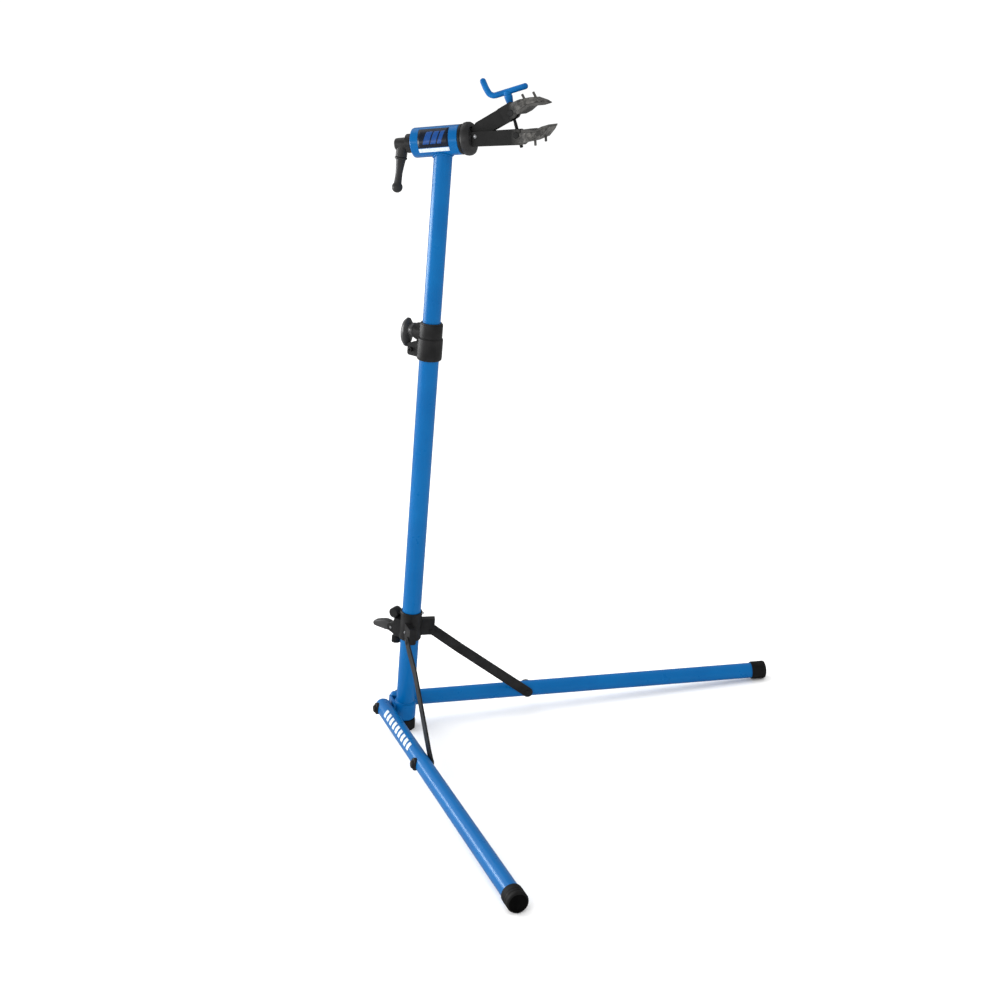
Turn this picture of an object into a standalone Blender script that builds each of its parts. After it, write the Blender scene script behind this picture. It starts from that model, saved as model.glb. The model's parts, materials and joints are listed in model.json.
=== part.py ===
"""Folding home repair stand for a bicycle: a leaning telescopic mast on two folding legs,
with a sliding fold collar, two flat struts and a rotating clamp head.

Metres, +Z up. The origin is the middle of the mast foot's flat underside. +X is the side the
mast leans to, and +Y is the left of someone standing behind the mast.
"""

import math

import bmesh
import bpy
from mathutils import Matrix, Vector

# Mast
MAST_LEAN = math.radians(10.8)
LOWER_TUBE_RADIUS = 0.02222
UPPER_TUBE_RADIUS = 0.0200
TUBE_WALL = 0.0016
LOWER_TUBE_FOOT = 0.0082
LOWER_TUBE_TOP = 1.0040
UPPER_TUBE_LENGTH = 0.6600
CLAMP_ALONG_MAST = 1.4091
GAP = 0.0004

# Mast foot and base bracket
FOOT_RADIUS = 0.0275
FOOT_TOP = 0.0310
BRACKET_LOW = 0.0360
BRACKET_HIGH = 0.0740
EAR_INNER = 0.0256
EAR_THICKNESS = 0.0040
EAR_FRONT = 0.0080

# Legs
LEG_PLANE_TURN = math.radians(38.8)
LEG_OFFSET = 0.0490
LEG_PIVOT_FRONT = -0.0110
LEG_PIVOT_HEIGHT = 0.0536
LEG_RADIUS = 0.01905
LEG_LENGTH = 0.9258
LEG_WALL = 0.0015
CAP_RADIUS = 0.0220
CAP_LENGTH = 0.0360
BOLT_RADIUS = 0.0050
BOLT_CLEARANCE = 0.0003
STUD_END = 0.0738

# Struts
STRUT_PIN_ALONG_LEG = 0.3170
STRUT_EYE_FRONT = 0.0510
STRUT_EYE_HEIGHT = 0.2600
STRUT_WIDTH = 0.0250
STRUT_INNER = 0.0256
STRUT_THICKNESS = 0.0040
STRUT_TOP_INNER = 0.0200
STRUT_TOP_END = 0.0240
STRUT_BEND_INNER = 0.0180
STRUT_BEND = 0.0850
STRUT_TAIL = 0.0260
RIVET_RADIUS = 0.0040

# Fold collar
FOLD_COLLAR_LOW = 0.2460
FOLD_COLLAR_HIGH = 0.3165
FOLD_COLLAR_RADIUS = 0.0266
LUG_INNER = 0.0040
LUG_FACE = 0.0197
FOLD_LEVER_REACH = 0.0470
FOLD_LEVER_HEIGHT = 0.2625
FOLD_LEVER_LENGTH = 0.0570
THUMB_NUT_REACH = 0.0390
SCREW_TURN = math.radians(33.0)
LUG_BOLT_FRONT = 0.0235
LUG_BOLT_HEIGHT = 0.2720

# Height collar
HEIGHT_COLLAR_LOW = 0.9335
HEIGHT_COLLAR_STEP = 0.9820
HEIGHT_COLLAR_HIGH = 1.0150
HEIGHT_COLLAR_BODY_RADIUS = 0.0282
HEIGHT_COLLAR_RING_RADIUS = 0.0260
KNOB_HEIGHT = 0.9915
KNOB_DROP = 0.0085
KNOB_HALF_LENGTH = 0.0335
KNOB_HALF_WIDTH = 0.0190
EAR_BOLT_REACH = 0.0430
EAR_BOLT_HEIGHT = 0.9495

# Clamp head, along the barrel from the mast's axis
HEAD_TURN = math.radians(13.65)
BARREL_RADIUS = 0.0312
BARREL_BACK = -0.0676
BARREL_FRONT = 0.0386
BARREL_BORE = 0.0205
SPINDLE_RADIUS = 0.0120
SPINDLE_TAIL_RADIUS = 0.0080
JAW_ROOT_REACH = 0.0676
JAW_PIVOT_REACH = 0.0746
JAW_PIN_RADIUS = 0.0032
JAW_PIVOT_RISE = 0.0039
LOWER_JAW_ANGLE = math.radians(-1.5)
UPPER_JAW_ANGLE = math.radians(24.0)
JAW_PLUG_RADIUS = 0.0027
JAW_PLUGS = ((0.1320, 0.0050, 0.0248), (0.1550, 0.0090, 0.0174))
TRUNNION_REACH = 0.0965
TRUNNION_DEPTH = -0.0015
TRUNNION_RADIUS = 0.0064
SCREW_RADIUS = 0.0040
HANDLE_HEIGHT = 0.0437
HANDLE_ROD_RADIUS = 0.0064

# Steps round a turned piece
FINE = 28
MEDIUM = 16
COARSE = 12


# ---------------------------------------------------------------- directions

MAST = Vector((math.sin(MAST_LEAN), 0.0, math.cos(MAST_LEAN)))
FRONT = Vector((math.cos(MAST_LEAN), 0.0, -math.sin(MAST_LEAN)))
LEFT = Vector((0.0, 1.0, 0.0))
UPRIGHT = Vector((0.0, 0.0, 1.0))

LEG_FRONT = math.cos(LEG_PLANE_TURN) * FRONT + math.sin(LEG_PLANE_TURN) * LEFT
LEG_OUT = MAST.cross(LEG_FRONT)
LEG_PIVOT = LEG_PIVOT_FRONT * LEG_FRONT + LEG_OFFSET * LEG_OUT + LEG_PIVOT_HEIGHT * MAST

# The leg's angle from the mast is the one that brings the end cap's edge down to the floor.
LEG_DROP = (CAP_RADIUS - LEG_PIVOT.z) / LEG_LENGTH
LEG_TO_MAST = math.acos(LEG_DROP / math.hypot(MAST.z, LEG_FRONT.z)) - math.atan2(-LEG_FRONT.z, MAST.z)
LEG_ALONG = math.cos(LEG_TO_MAST) * MAST + math.sin(LEG_TO_MAST) * LEG_FRONT

HEAD_FORWARD = math.cos(HEAD_TURN) * FRONT + math.sin(HEAD_TURN) * LEFT
BARREL = math.cos(MAST_LEAN) * HEAD_FORWARD + math.sin(MAST_LEAN) * MAST
HEAD_SIDE = UPRIGHT.cross(BARREL).normalized()
HEAD_UP = BARREL.cross(HEAD_SIDE)
BARREL_CENTRE = CLAMP_ALONG_MAST * MAST


def placement(origin, x_axis, z_axis):
    """A frame at origin with its z along z_axis and its x as near x_axis as can be."""
    z_axis = z_axis.normalized()
    y_axis = z_axis.cross(x_axis).normalized()
    x_axis = y_axis.cross(z_axis)
    matrix = Matrix((x_axis, y_axis, z_axis)).transposed().to_4x4()
    matrix.translation = origin
    return matrix


def mast_placement(height=0.0):
    return placement(height * MAST, FRONT, MAST)


def behind_mast(reach, height):
    """A point behind the mast, in the plane that halves the two legs' angle."""
    return height * MAST - reach * FRONT


def in_leg_plane(front, height, out):
    return front * LEG_FRONT + height * MAST + out * LEG_OUT


def at_head(along, rise=0.0, side=0.0):
    return BARREL_CENTRE + along * BARREL + rise * HEAD_UP + side * HEAD_SIDE


# ---------------------------------------------------------------- materials


def principled(name, colour, roughness, metallic=0.0):
    material = bpy.data.materials.new(name)
    material.use_nodes = True
    shader = material.node_tree.nodes["Principled BSDF"]
    shader.inputs["Base Color"].default_value = (*colour, 1.0)
    shader.inputs["Roughness"].default_value = roughness
    shader.inputs["Metallic"].default_value = metallic
    return material


def make_materials():
    return {
        "blue_paint": principled("blue_paint", (0.004, 0.155, 0.52), 0.32),
        "black_plastic": principled("black_plastic", (0.018, 0.018, 0.019), 0.5),
        "black_rubber": principled("black_rubber", (0.012, 0.012, 0.012), 0.8),
        "black_steel": principled("black_steel", (0.03, 0.03, 0.032), 0.45, 0.6),
        "bare_steel": principled("bare_steel", (0.62, 0.62, 0.64), 0.3, 1.0),
        "blue_dip": principled("blue_dip", (0.004, 0.14, 0.42), 0.4),
        "nylon": principled("nylon", (0.05, 0.05, 0.052), 0.55),
    }


# ---------------------------------------------------------------- shape tools


def new_object(name, mesh_data, matrix, material):
    mesh = bpy.data.meshes.new(name)
    mesh_data.to_mesh(mesh)
    mesh_data.free()
    mesh.materials.append(material)
    mesh.shade_smooth()
    mesh.set_sharp_from_angle(angle=math.radians(35))
    made = bpy.data.objects.new(name, mesh)
    bpy.context.scene.collection.objects.link(made)
    made.matrix_world = matrix
    return made


def turned(name, profile, matrix, material, steps=MEDIUM):
    """Turns a profile of (radius, height) points round the frame's z. A profile that starts
    and ends on the axis makes a solid piece, and any other is closed into a ring."""
    shape = bmesh.new()
    points = [shape.verts.new((radius, 0.0, height)) for radius, height in profile]
    pairs = list(zip(points, points[1:]))
    if profile[0][0] > 0.0 or profile[-1][0] > 0.0:
        pairs.append((points[-1], points[0]))
    edges = [shape.edges.new(pair) for pair in pairs]
    bmesh.ops.spin(
        shape,
        geom=points + edges,
        cent=(0.0, 0.0, 0.0),
        axis=(0.0, 0.0, 1.0),
        angle=math.tau,
        steps=steps,
        use_merge=True,
    )
    bmesh.ops.remove_doubles(shape, verts=shape.verts, dist=1e-6)
    bmesh.ops.recalc_face_normals(shape, faces=shape.faces)
    return new_object(name, shape, matrix, material)


def rod(name, radius, low, high, matrix, material, steps=COARSE, chamfer=0.0):
    profile = [(0.0, low), (radius - chamfer, low)]
    if chamfer:
        profile.append((radius, low + chamfer))
        profile.append((radius, high - chamfer))
    else:
        profile.append((radius, high))
    if chamfer:
        profile.append((radius - chamfer, high))
    profile.append((0.0, high))
    return turned(name, profile, matrix, material, steps)


def ring(name, inner, outer, low, high, matrix, material, steps=MEDIUM, chamfer=0.0):
    profile = [(inner, low), (outer - chamfer, low)]
    if chamfer:
        profile.append((outer, low + chamfer))
        profile.append((outer, high - chamfer))
        profile.append((outer - chamfer, high))
    else:
        profile.append((outer, high))
    profile.append((inner, high))
    return turned(name, profile, matrix, material, steps)


def prism(name, outline, low, high, matrix, material):
    """Extrudes an outline in the frame's x and y from low to high along its z."""
    shape = bmesh.new()
    face = shape.faces.new([shape.verts.new((x, y, low)) for x, y in outline])
    grown = bmesh.ops.extrude_face_region(shape, geom=[face])
    lifted = [item for item in grown["geom"] if isinstance(item, bmesh.types.BMVert)]
    bmesh.ops.translate(shape, verts=lifted, vec=(0.0, 0.0, high - low))
    bmesh.ops.recalc_face_normals(shape, faces=shape.faces)
    return new_object(name, shape, matrix, material)


def box(name, low, high, matrix, material):
    outline = [(low[0], low[1]), (high[0], low[1]), (high[0], high[1]), (low[0], high[1])]
    return prism(name, outline, low[2], high[2], matrix, material)


def arc(centre, radius, start, end, steps):
    """Points on an arc, from the start angle to the end angle in degrees."""
    points = []
    for step in range(steps + 1):
        angle = math.radians(start + (end - start) * step / steps)
        x = centre[0] + radius * math.cos(angle)
        y = centre[1] + radius * math.sin(angle)
        points.append((x, y))
    return points


def stadium(start, end, radius, steps=10):
    """The outline of a bar with round ends, from start to end along x."""
    return arc((end, 0.0), radius, -90, 90, steps) + arc((start, 0.0), radius, 90, 270, steps)


def bake(target):
    graph = bpy.context.evaluated_depsgraph_get()
    mesh = bpy.data.meshes.new_from_object(target.evaluated_get(graph), depsgraph=graph)
    target.modifiers.clear()
    target.data = mesh


def combine(target, tool, operation):
    """Joins, cuts or intersects target with tool, and removes tool."""
    look = target.data.materials[0]
    modifier = target.modifiers.new("combine", "BOOLEAN")
    modifier.operation = operation
    modifier.object = tool
    bake(target)
    bpy.data.objects.remove(tool, do_unlink=True)
    target.data.materials.clear()
    target.data.materials.append(look)
    target.data.polygons.foreach_set("material_index", [0] * len(target.data.polygons))
    target.data.shade_smooth()
    target.data.set_sharp_from_angle(angle=math.radians(35))
    return target


def soften(target, width, segments=1):
    """Rounds the sharp edges."""
    modifier = target.modifiers.new("soften", "BEVEL")
    modifier.width = width
    modifier.segments = segments
    modifier.limit_method = "ANGLE"
    modifier.angle_limit = math.radians(40)
    bake(target)
    return target


def drill(target, point, direction, radius, reach):
    cutter = rod("cutter", radius, -reach, reach, placement(point, MAST, direction), None, MEDIUM)
    return combine(target, cutter, "DIFFERENCE")


def hexagon(radius):
    return arc((0.0, 0.0), radius, 0, 300, 5)


def mirrored(source, name):
    """The right-hand copy of a left-hand piece."""
    bake(source)
    mesh = source.data.copy()
    mesh.transform(Matrix.Scale(-1.0, 4, LEFT) @ source.matrix_world)
    mesh.flip_normals()
    copy = bpy.data.objects.new(name, mesh)
    bpy.context.scene.collection.objects.link(copy)
    return copy


def carry(pieces, name, point):
    """Parents the pieces to an empty on their joint's axis."""
    carrier = bpy.data.objects.new(name, None)
    carrier.empty_display_size = 0.02
    bpy.context.scene.collection.objects.link(carrier)
    carrier.location = point
    bpy.context.view_layer.update()
    for piece in pieces:
        piece.parent = carrier
        piece.matrix_parent_inverse = carrier.matrix_world.inverted()
    return carrier


# ---------------------------------------------------------------- mast and base


def lower_mast_tube(paint):
    inner = LOWER_TUBE_RADIUS - TUBE_WALL
    return ring(
        "lower_mast_tube",
        inner,
        LOWER_TUBE_RADIUS,
        LOWER_TUBE_FOOT,
        LOWER_TUBE_TOP,
        mast_placement(),
        paint,
        FINE,
    )


def mast_foot(rubber):
    """A cup over the tube's end, cut level so that it stands flat on the floor."""
    pocket = LOWER_TUBE_RADIUS + GAP
    profile = [
        (0.0, -0.020),
        (FOOT_RADIUS, -0.020),
        (FOOT_RADIUS, 0.020),
        (FOOT_RADIUS - 0.0015, FOOT_TOP - 0.002),
        (FOOT_RADIUS - 0.0035, FOOT_TOP),
        (pocket, FOOT_TOP),
        (pocket, LOWER_TUBE_FOOT - GAP),
        (0.0, LOWER_TUBE_FOOT - GAP),
    ]
    foot = turned("mast_foot", profile, mast_placement(), rubber, FINE)
    below = box("below", (-0.1, -0.1, -0.1), (0.1, 0.1, 0.0), Matrix(), None)
    return combine(foot, below, "DIFFERENCE")


def ear_plate(side):
    """One leg's pivot ear: a plate in the leg's plane that bends round behind the mast."""
    middle = 0.5 * (BRACKET_LOW + BRACKET_HIGH)
    half = 0.5 * (BRACKET_HIGH - BRACKET_LOW)
    centre = in_leg_plane(EAR_FRONT, middle, EAR_INNER)
    outline = arc((-0.010, half - 0.010), 0.010, 90, 0, 5)
    outline += arc((-0.010, 0.010 - half), 0.010, 0, -90, 5)
    outline += [(-0.060, -half), (-0.060, half)]
    ear = prism("ear", outline, 0.0, EAR_THICKNESS, placement(centre, LEG_FRONT, LEG_OUT), None)
    other_side = box("other_side", (-0.1, -0.1, -0.1), (0.1, -0.0006, 0.2), Matrix(), None)
    combine(ear, other_side, "DIFFERENCE")
    return ear if side > 0 else mirror_in_place(ear)


def mirror_in_place(source):
    copy = mirrored(source, "mirrored")
    bpy.data.objects.remove(source, do_unlink=True)
    return copy


def base_bracket(paint):
    """The welded sleeve round the mast with an ear for each leg, joined by a rear web."""
    sleeve = ring(
        "base_bracket",
        LOWER_TUBE_RADIUS + GAP,
        LOWER_TUBE_RADIUS + 0.0043,
        BRACKET_LOW,
        BRACKET_HIGH,
        mast_placement(),
        paint,
        FINE,
    )
    for side in (1, -1):
        combine(sleeve, ear_plate(side), "UNION")
    return sleeve


def leg_pivot_stud(steel):
    frame = placement(in_leg_plane(LEG_PIVOT_FRONT, LEG_PIVOT_HEIGHT, 0.0), MAST, LEG_OUT)
    low = EAR_INNER + EAR_THICKNESS + 0.0003
    return rod("left_pivot_stud", BOLT_RADIUS, low, STUD_END, frame, steel, COARSE, 0.0008)


def saddle_washer(name, front, height, material):
    """A thick washer hollowed to sit on the round of the leg tube."""
    point = in_leg_plane(front, height, 0.0)
    frame = placement(point, LEG_ALONG, LEG_OUT)
    low = LEG_OFFSET + 0.0120
    high = LEG_OFFSET + LEG_RADIUS + 0.0026
    washer = ring(name, BOLT_RADIUS + BOLT_CLEARANCE, 0.0142, low, high, frame, material, MEDIUM, 0.001)
    leg_frame = placement(LEG_PIVOT, LEG_OUT, LEG_ALONG)
    tube = rod("tube", LEG_RADIUS + GAP, -0.1, 0.6, leg_frame, None, FINE)
    return combine(washer, tube, "DIFFERENCE")


def lock_nut(name, point, material):
    """A hexagon nut with a flange and a domed lock collar."""
    low = LEG_OFFSET + LEG_RADIUS + 0.0029
    frame = placement(point, MAST, LEG_OUT)
    hole = BOLT_RADIUS + BOLT_CLEARANCE
    nut = prism(name, hexagon(0.0092), low + 0.001, low + 0.0042, frame, material)
    flange = rod("flange", 0.0108, low, low + 0.0016, frame, material, MEDIUM)
    combine(nut, flange, "UNION")
    dome = turned(
        "dome",
        [(0.0, low + 0.0035), (0.0074, low + 0.0035), (0.0070, low + 0.0051), (0.0, low + 0.0056)],
        frame,
        material,
        MEDIUM,
    )
    combine(nut, dome, "UNION")
    thread = rod("thread", hole, low - 0.002, STUD_END + 0.0004, frame, None, COARSE)
    return combine(nut, thread, "DIFFERENCE")


# ---------------------------------------------------------------- left leg and strut


def leg_point(along):
    return LEG_PIVOT + along * LEG_ALONG


def leg_tube(paint):
    """The leg: a tube with a pressed dome at the pivot end and cross holes for two bolts."""
    inner = LEG_RADIUS - LEG_WALL
    high = LEG_LENGTH - 0.004
    profile = [(0.0, -0.0240)]
    profile += [(LEG_RADIUS * math.sin(math.radians(a)), -0.0130 - 0.011 * math.cos(math.radians(a))) for a in (25, 50, 70)]
    profile += [(LEG_RADIUS, -0.0130), (LEG_RADIUS, high), (inner, high), (inner, -0.0130), (0.0, -0.0130)]
    frame = placement(LEG_PIVOT, LEG_OUT, LEG_ALONG)
    tube = turned("left_leg_tube", profile, frame, paint, FINE)
    for along in (0.0, STRUT_PIN_ALONG_LEG):
        drill(tube, leg_point(along), LEG_OUT, BOLT_RADIUS + BOLT_CLEARANCE, 0.03)
    return tube


def leg_cap(rubber):
    """The end cap: a cup with grip rings and a rounded end."""
    pocket = LEG_RADIUS + GAP
    start = LEG_LENGTH - CAP_LENGTH
    profile = [(0.0, LEG_LENGTH), (CAP_RADIUS - 0.0035, LEG_LENGTH)]
    profile.append((CAP_RADIUS - 0.001, LEG_LENGTH - 0.0012))
    profile.append((CAP_RADIUS, LEG_LENGTH - 0.0038))
    for groove in (0.011, 0.019):
        profile.append((CAP_RADIUS, LEG_LENGTH - groove + 0.0012))
        profile.append((CAP_RADIUS - 0.0009, LEG_LENGTH - groove))
        profile.append((CAP_RADIUS, LEG_LENGTH - groove - 0.0012))
    profile.append((CAP_RADIUS, start + 0.0015))
    profile.append((CAP_RADIUS - 0.0012, start))
    profile.append((pocket, start))
    profile.append((pocket, LEG_LENGTH - 0.0037))
    profile.append((0.0, LEG_LENGTH - 0.0037))
    frame = placement(LEG_PIVOT, LEG_OUT, LEG_ALONG)
    return turned("left_leg_cap", profile, frame, rubber, FINE)


def strut_bolt(steel):
    """The bolt through the leg. It ends inside the strut side of the tube wall."""
    point = leg_point(STRUT_PIN_ALONG_LEG) - LEG_OFFSET * LEG_OUT
    frame = placement(point, MAST, LEG_OUT)
    low = LEG_OFFSET - LEG_RADIUS + 0.0004
    return rod("left_strut_bolt", BOLT_RADIUS, low, STUD_END, frame, steel, COARSE, 0.0008)


def strut_pin_point():
    return leg_point(STRUT_PIN_ALONG_LEG) - LEG_OFFSET * LEG_OUT


def strut_eye_point():
    return in_leg_plane(STRUT_EYE_FRONT, STRUT_EYE_HEIGHT, 0.0)


def strut_bar(steel):
    """The flat bar from the fold collar's eye down to the leg's bolt. It bends in towards the
    mast below the eye, then out again to meet the leg."""
    eye = strut_eye_point()
    down = strut_pin_point() - eye
    length = down.length
    inner = [(-STRUT_WIDTH, STRUT_TOP_INNER), (STRUT_TOP_END, STRUT_TOP_INNER)]
    inner += [(STRUT_BEND, STRUT_BEND_INNER), (length - STRUT_TAIL, STRUT_INNER)]
    inner.append((length + STRUT_WIDTH, STRUT_INNER))
    outer = [(along, side + STRUT_THICKNESS) for along, side in reversed(inner)]
    edge_frame = placement(eye, down, down.cross(LEG_OUT))
    bar = prism("left_strut", inner + outer, -0.02, 0.02, edge_frame, steel)
    outline = stadium(0.0, length, 0.5 * STRUT_WIDTH, 12)
    plan = prism("plan", outline, 0.0, 0.05, placement(eye, down, LEG_OUT), steel)
    combine(bar, plan, "INTERSECT")
    for point in (eye, strut_pin_point()):
        drill(bar, point + STRUT_INNER * LEG_OUT, LEG_OUT, RIVET_RADIUS + BOLT_CLEARANCE, 0.012)
    return bar


def strut_rivet(steel):
    """The low head and short shank in the strut's lower eye."""
    frame = placement(strut_pin_point(), MAST, LEG_OUT)
    head = STRUT_INNER - 0.0003
    high = STRUT_INNER + STRUT_THICKNESS
    profile = [(0.0, head - 0.0029), (0.0048, head - 0.0027), (0.0064, head - 0.0015), (0.0066, head)]
    profile += [(RIVET_RADIUS, head), (RIVET_RADIUS, high), (0.0, high)]
    return turned("left_strut_rivet", profile, frame, steel, COARSE)


# ---------------------------------------------------------------- fold collar


def collar_lug(name):
    """The lug that carries one strut: a block reaching forward in the leg's plane."""
    centre = strut_eye_point()
    frame = placement(centre, LEG_FRONT, LEG_OUT)
    outline = [(0.0070, -0.0340), (0.0070, 0.0020), (0.0045, 0.0068), (0.0000, 0.0085)]
    outline += [(-0.0060, 0.0085), (-0.0240, 0.0100), (-0.0460, 0.0100), (-0.0460, -0.0320)]
    outline.append((-0.0240, -0.0320))
    lug = prism(name, outline, LUG_INNER, LUG_FACE, frame, None)
    return drill(lug, centre, LEG_OUT, RIVET_RADIUS + BOLT_CLEARANCE, 0.04)


def fold_collar_body(plastic):
    """The sliding casting: a sleeve with end beads, two lugs and a rear clamp block."""
    inner = LOWER_TUBE_RADIUS + GAP
    low, high = FOLD_COLLAR_LOW, FOLD_COLLAR_HIGH
    radius = FOLD_COLLAR_RADIUS
    profile = [(inner, low), (radius - 0.0012, low), (radius, low + 0.0015), (radius, low + 0.007)]
    profile += [(radius - 0.0012, low + 0.009), (radius - 0.0012, high - 0.009)]
    profile += [(radius, high - 0.007), (radius, high - 0.0015), (radius - 0.0012, high), (inner, high)]
    body = turned("fold_collar_body", profile, mast_placement(), plastic, FINE)
    for side in (1, -1):
        lug = collar_lug("lug")
        combine(body, lug if side > 0 else mirror_in_place(lug), "UNION")
    behind = placement(Vector(), -FRONT, MAST)
    block = box("block", (0.018, -0.0150, 0.2440), (0.0400, 0.0150, 0.2900), behind, plastic)
    soften(block, 0.0025, 2)
    combine(body, block, "UNION")
    horn_frame = placement(behind_mast(0.0450, 0.2990), MAST, LEFT)
    horn = rod("horn", 0.0125, -0.0110, 0.0110, horn_frame, plastic, MEDIUM, 0.0015)
    combine(body, horn, "UNION")
    for sign in (1, -1):
        cheek_frame = placement(behind_mast(FOLD_LEVER_REACH, FOLD_LEVER_HEIGHT), FRONT, LEFT)
        outline = arc((0.0, 0.0), 0.0105, 90, 270, 10) + [(0.016, -0.0170), (0.016, 0.0170)]
        inner_face = 0.0096 if sign > 0 else -0.0150
        cheek = prism("cheek", outline, inner_face, inner_face + 0.0054, cheek_frame, plastic)
        combine(body, cheek, "UNION")
    bore = rod("bore", inner, 0.2, 0.35, mast_placement(), None, FINE)
    combine(body, bore, "DIFFERENCE")
    hub_room = rod(
        "hub_room",
        0.0122,
        -0.0095,
        0.0095,
        placement(behind_mast(FOLD_LEVER_REACH, FOLD_LEVER_HEIGHT), MAST, LEFT),
        None,
        MEDIUM,
    )
    combine(body, hub_room, "DIFFERENCE")
    return drill(body, behind_mast(FOLD_LEVER_REACH, FOLD_LEVER_HEIGHT), LEFT, 0.0034, 0.03)


def fold_lever_pin(steel):
    frame = placement(behind_mast(FOLD_LEVER_REACH, FOLD_LEVER_HEIGHT), MAST, LEFT)
    return rod("fold_lever_pin", 0.0030, -0.0162, 0.0162, frame, steel, COARSE, 0.0005)


def fold_lever(plastic):
    """The lock lever: a round hub with a lens-shaped paddle pointing away from the mast."""
    hub_point = behind_mast(FOLD_LEVER_REACH, FOLD_LEVER_HEIGHT)
    frame = placement(hub_point, MAST, LEFT)
    hub = rod("fold_lever", 0.0112, -0.0092, 0.0092, frame, plastic, MEDIUM, 0.001)
    paddle_frame = placement(hub_point - 0.004 * MAST, -FRONT, -LEFT)
    length = FOLD_LEVER_LENGTH
    outline = [(0.002, 0.0085), (0.018, 0.0105), (0.034, 0.0105)]
    outline += arc((length - 0.0075, 0.0030), 0.0072, 80, -80, 8)
    outline += [(0.040, -0.0085), (0.026, -0.0130), (0.012, -0.0125), (0.002, -0.0070)]
    paddle = prism("paddle", outline, -0.0092, 0.0092, paddle_frame, plastic)
    soften(paddle, 0.0028, 2)
    combine(hub, paddle, "UNION")
    return drill(hub, hub_point, LEFT, 0.0034, 0.03)


def thumb_nut(plastic):
    """The fluted adjusting nut under the rear block."""
    frame = placement(-THUMB_NUT_REACH * FRONT, FRONT, MAST)
    outline = []
    for tooth in range(12):
        start = 30.0 * tooth
        outline += arc((0.0, 0.0), 0.0108, start, start + 14, 2)
        outline += arc((0.0, 0.0), 0.0092, start + 19, start + 25, 1)
    nut = prism("fold_thumb_nut", outline, 0.2225, 0.2370, frame, plastic)
    neck = rod("neck", 0.0070, 0.2350, 0.2437, frame, plastic, MEDIUM)
    return combine(nut, neck, "UNION")


def collar_rivet(steel):
    """The rivet through a lug and the strut's upper eye, with a head at each end."""
    frame = placement(strut_eye_point(), MAST, LEG_OUT)
    inner = LUG_INNER - 0.0003
    outer = STRUT_TOP_INNER + STRUT_THICKNESS + 0.0003
    profile = [(0.0, inner - 0.0020), (0.0060, inner - 0.0014), (0.0064, inner), (RIVET_RADIUS, inner)]
    profile += [(RIVET_RADIUS, outer), (0.0068, outer), (0.0064, outer + 0.0012)]
    profile += [(0.0046, outer + 0.0022), (0.0, outer + 0.0026)]
    return turned("left_collar_rivet", profile, frame, steel, COARSE)


def collar_screw(steel):
    """A small bright screw head near the collar's top edge."""
    direction = math.cos(SCREW_TURN) * FRONT + math.sin(SCREW_TURN) * LEFT
    frame = placement((FOLD_COLLAR_HIGH - 0.0042) * MAST, MAST, direction)
    low = FOLD_COLLAR_RADIUS + 0.0003
    return rod("fold_collar_screw", 0.0032, low, low + 0.0024, frame, steel, COARSE, 0.0006)


def lug_bolt(steel):
    """A small bright bolt head on the outer face of the right lug."""
    frame = placement(in_leg_plane(LUG_BOLT_FRONT, LUG_BOLT_HEIGHT, 0.0), MAST, LEG_OUT)
    low = LUG_FACE + 0.0003
    head = rod("head", 0.0030, low, low + 0.0022, frame, steel, COARSE, 0.0006)
    bolt = mirror_in_place(head)
    bolt.name = "fold_collar_bolt"
    return bolt


# ---------------------------------------------------------------- height collar


def height_collar_body(plastic):
    """The fixed casting at the top of the lower tube, with a knob boss and two clamp ears."""
    inner = LOWER_TUBE_RADIUS + GAP
    wide = UPPER_TUBE_RADIUS + 0.0044
    low, step, high = HEIGHT_COLLAR_LOW, HEIGHT_COLLAR_STEP, HEIGHT_COLLAR_HIGH
    body_radius, ring_radius = HEIGHT_COLLAR_BODY_RADIUS, HEIGHT_COLLAR_RING_RADIUS
    blank = inner - 0.0020
    profile = [(blank, low), (body_radius - 0.002, low), (body_radius - 0.0005, low + 0.002)]
    profile += [(body_radius, low + 0.006), (body_radius, step - 0.002), (body_radius - 0.001, step)]
    profile += [(ring_radius - 0.0008, step + 0.0015), (ring_radius, step + 0.004)]
    profile += [(ring_radius, high - 0.0015), (ring_radius - 0.001, high), (blank, high)]
    body = turned("height_collar_body", profile, mast_placement(), plastic, FINE)
    behind = placement(Vector(), -FRONT, MAST)
    for low_face in (0.0030, -0.0110):
        frame = placement(behind_mast(EAR_BOLT_REACH, EAR_BOLT_HEIGHT), -FRONT, LEFT)
        outline = arc((0.0040, -0.0085), 0.0055, -80, 0, 5) + arc((0.0040, 0.0085), 0.0055, 0, 80, 5)
        outline += [(-0.012, 0.0180), (-0.023, 0.0190), (-0.023, -0.0148), (-0.012, -0.0138)]
        ear = prism("ear", outline, low_face, low_face + 0.0080, frame, plastic)
        combine(body, ear, "UNION")
    boss_frame = placement(KNOB_HEIGHT * MAST, MAST, -FRONT)
    boss = rod("boss", 0.0190, 0.0150, 0.0395, boss_frame, plastic, MEDIUM, 0.0035)
    combine(body, boss, "UNION")
    rib = box("rib", (0.0203, -0.0047, 0.9652), (0.0339, 0.0047, 0.9783), behind, plastic)
    combine(body, rib, "UNION")
    bore = rod("bore", inner, 0.90, LOWER_TUBE_TOP + 0.0006, mast_placement(), None, FINE)
    combine(body, bore, "DIFFERENCE")
    upper_bore = rod("upper_bore", wide, LOWER_TUBE_TOP, 1.05, mast_placement(), None, FINE)
    combine(body, upper_bore, "DIFFERENCE")
    slit = box("slit", (0.018, -0.0014, 0.90), (0.060, 0.0014, 0.9640), behind, None)
    combine(body, slit, "DIFFERENCE")
    drill(body, behind_mast(EAR_BOLT_REACH, EAR_BOLT_HEIGHT), LEFT, 0.0034, 0.03)
    return drill(body, KNOB_HEIGHT * MAST - 0.032 * FRONT, -FRONT, 0.0056, 0.014)


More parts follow.
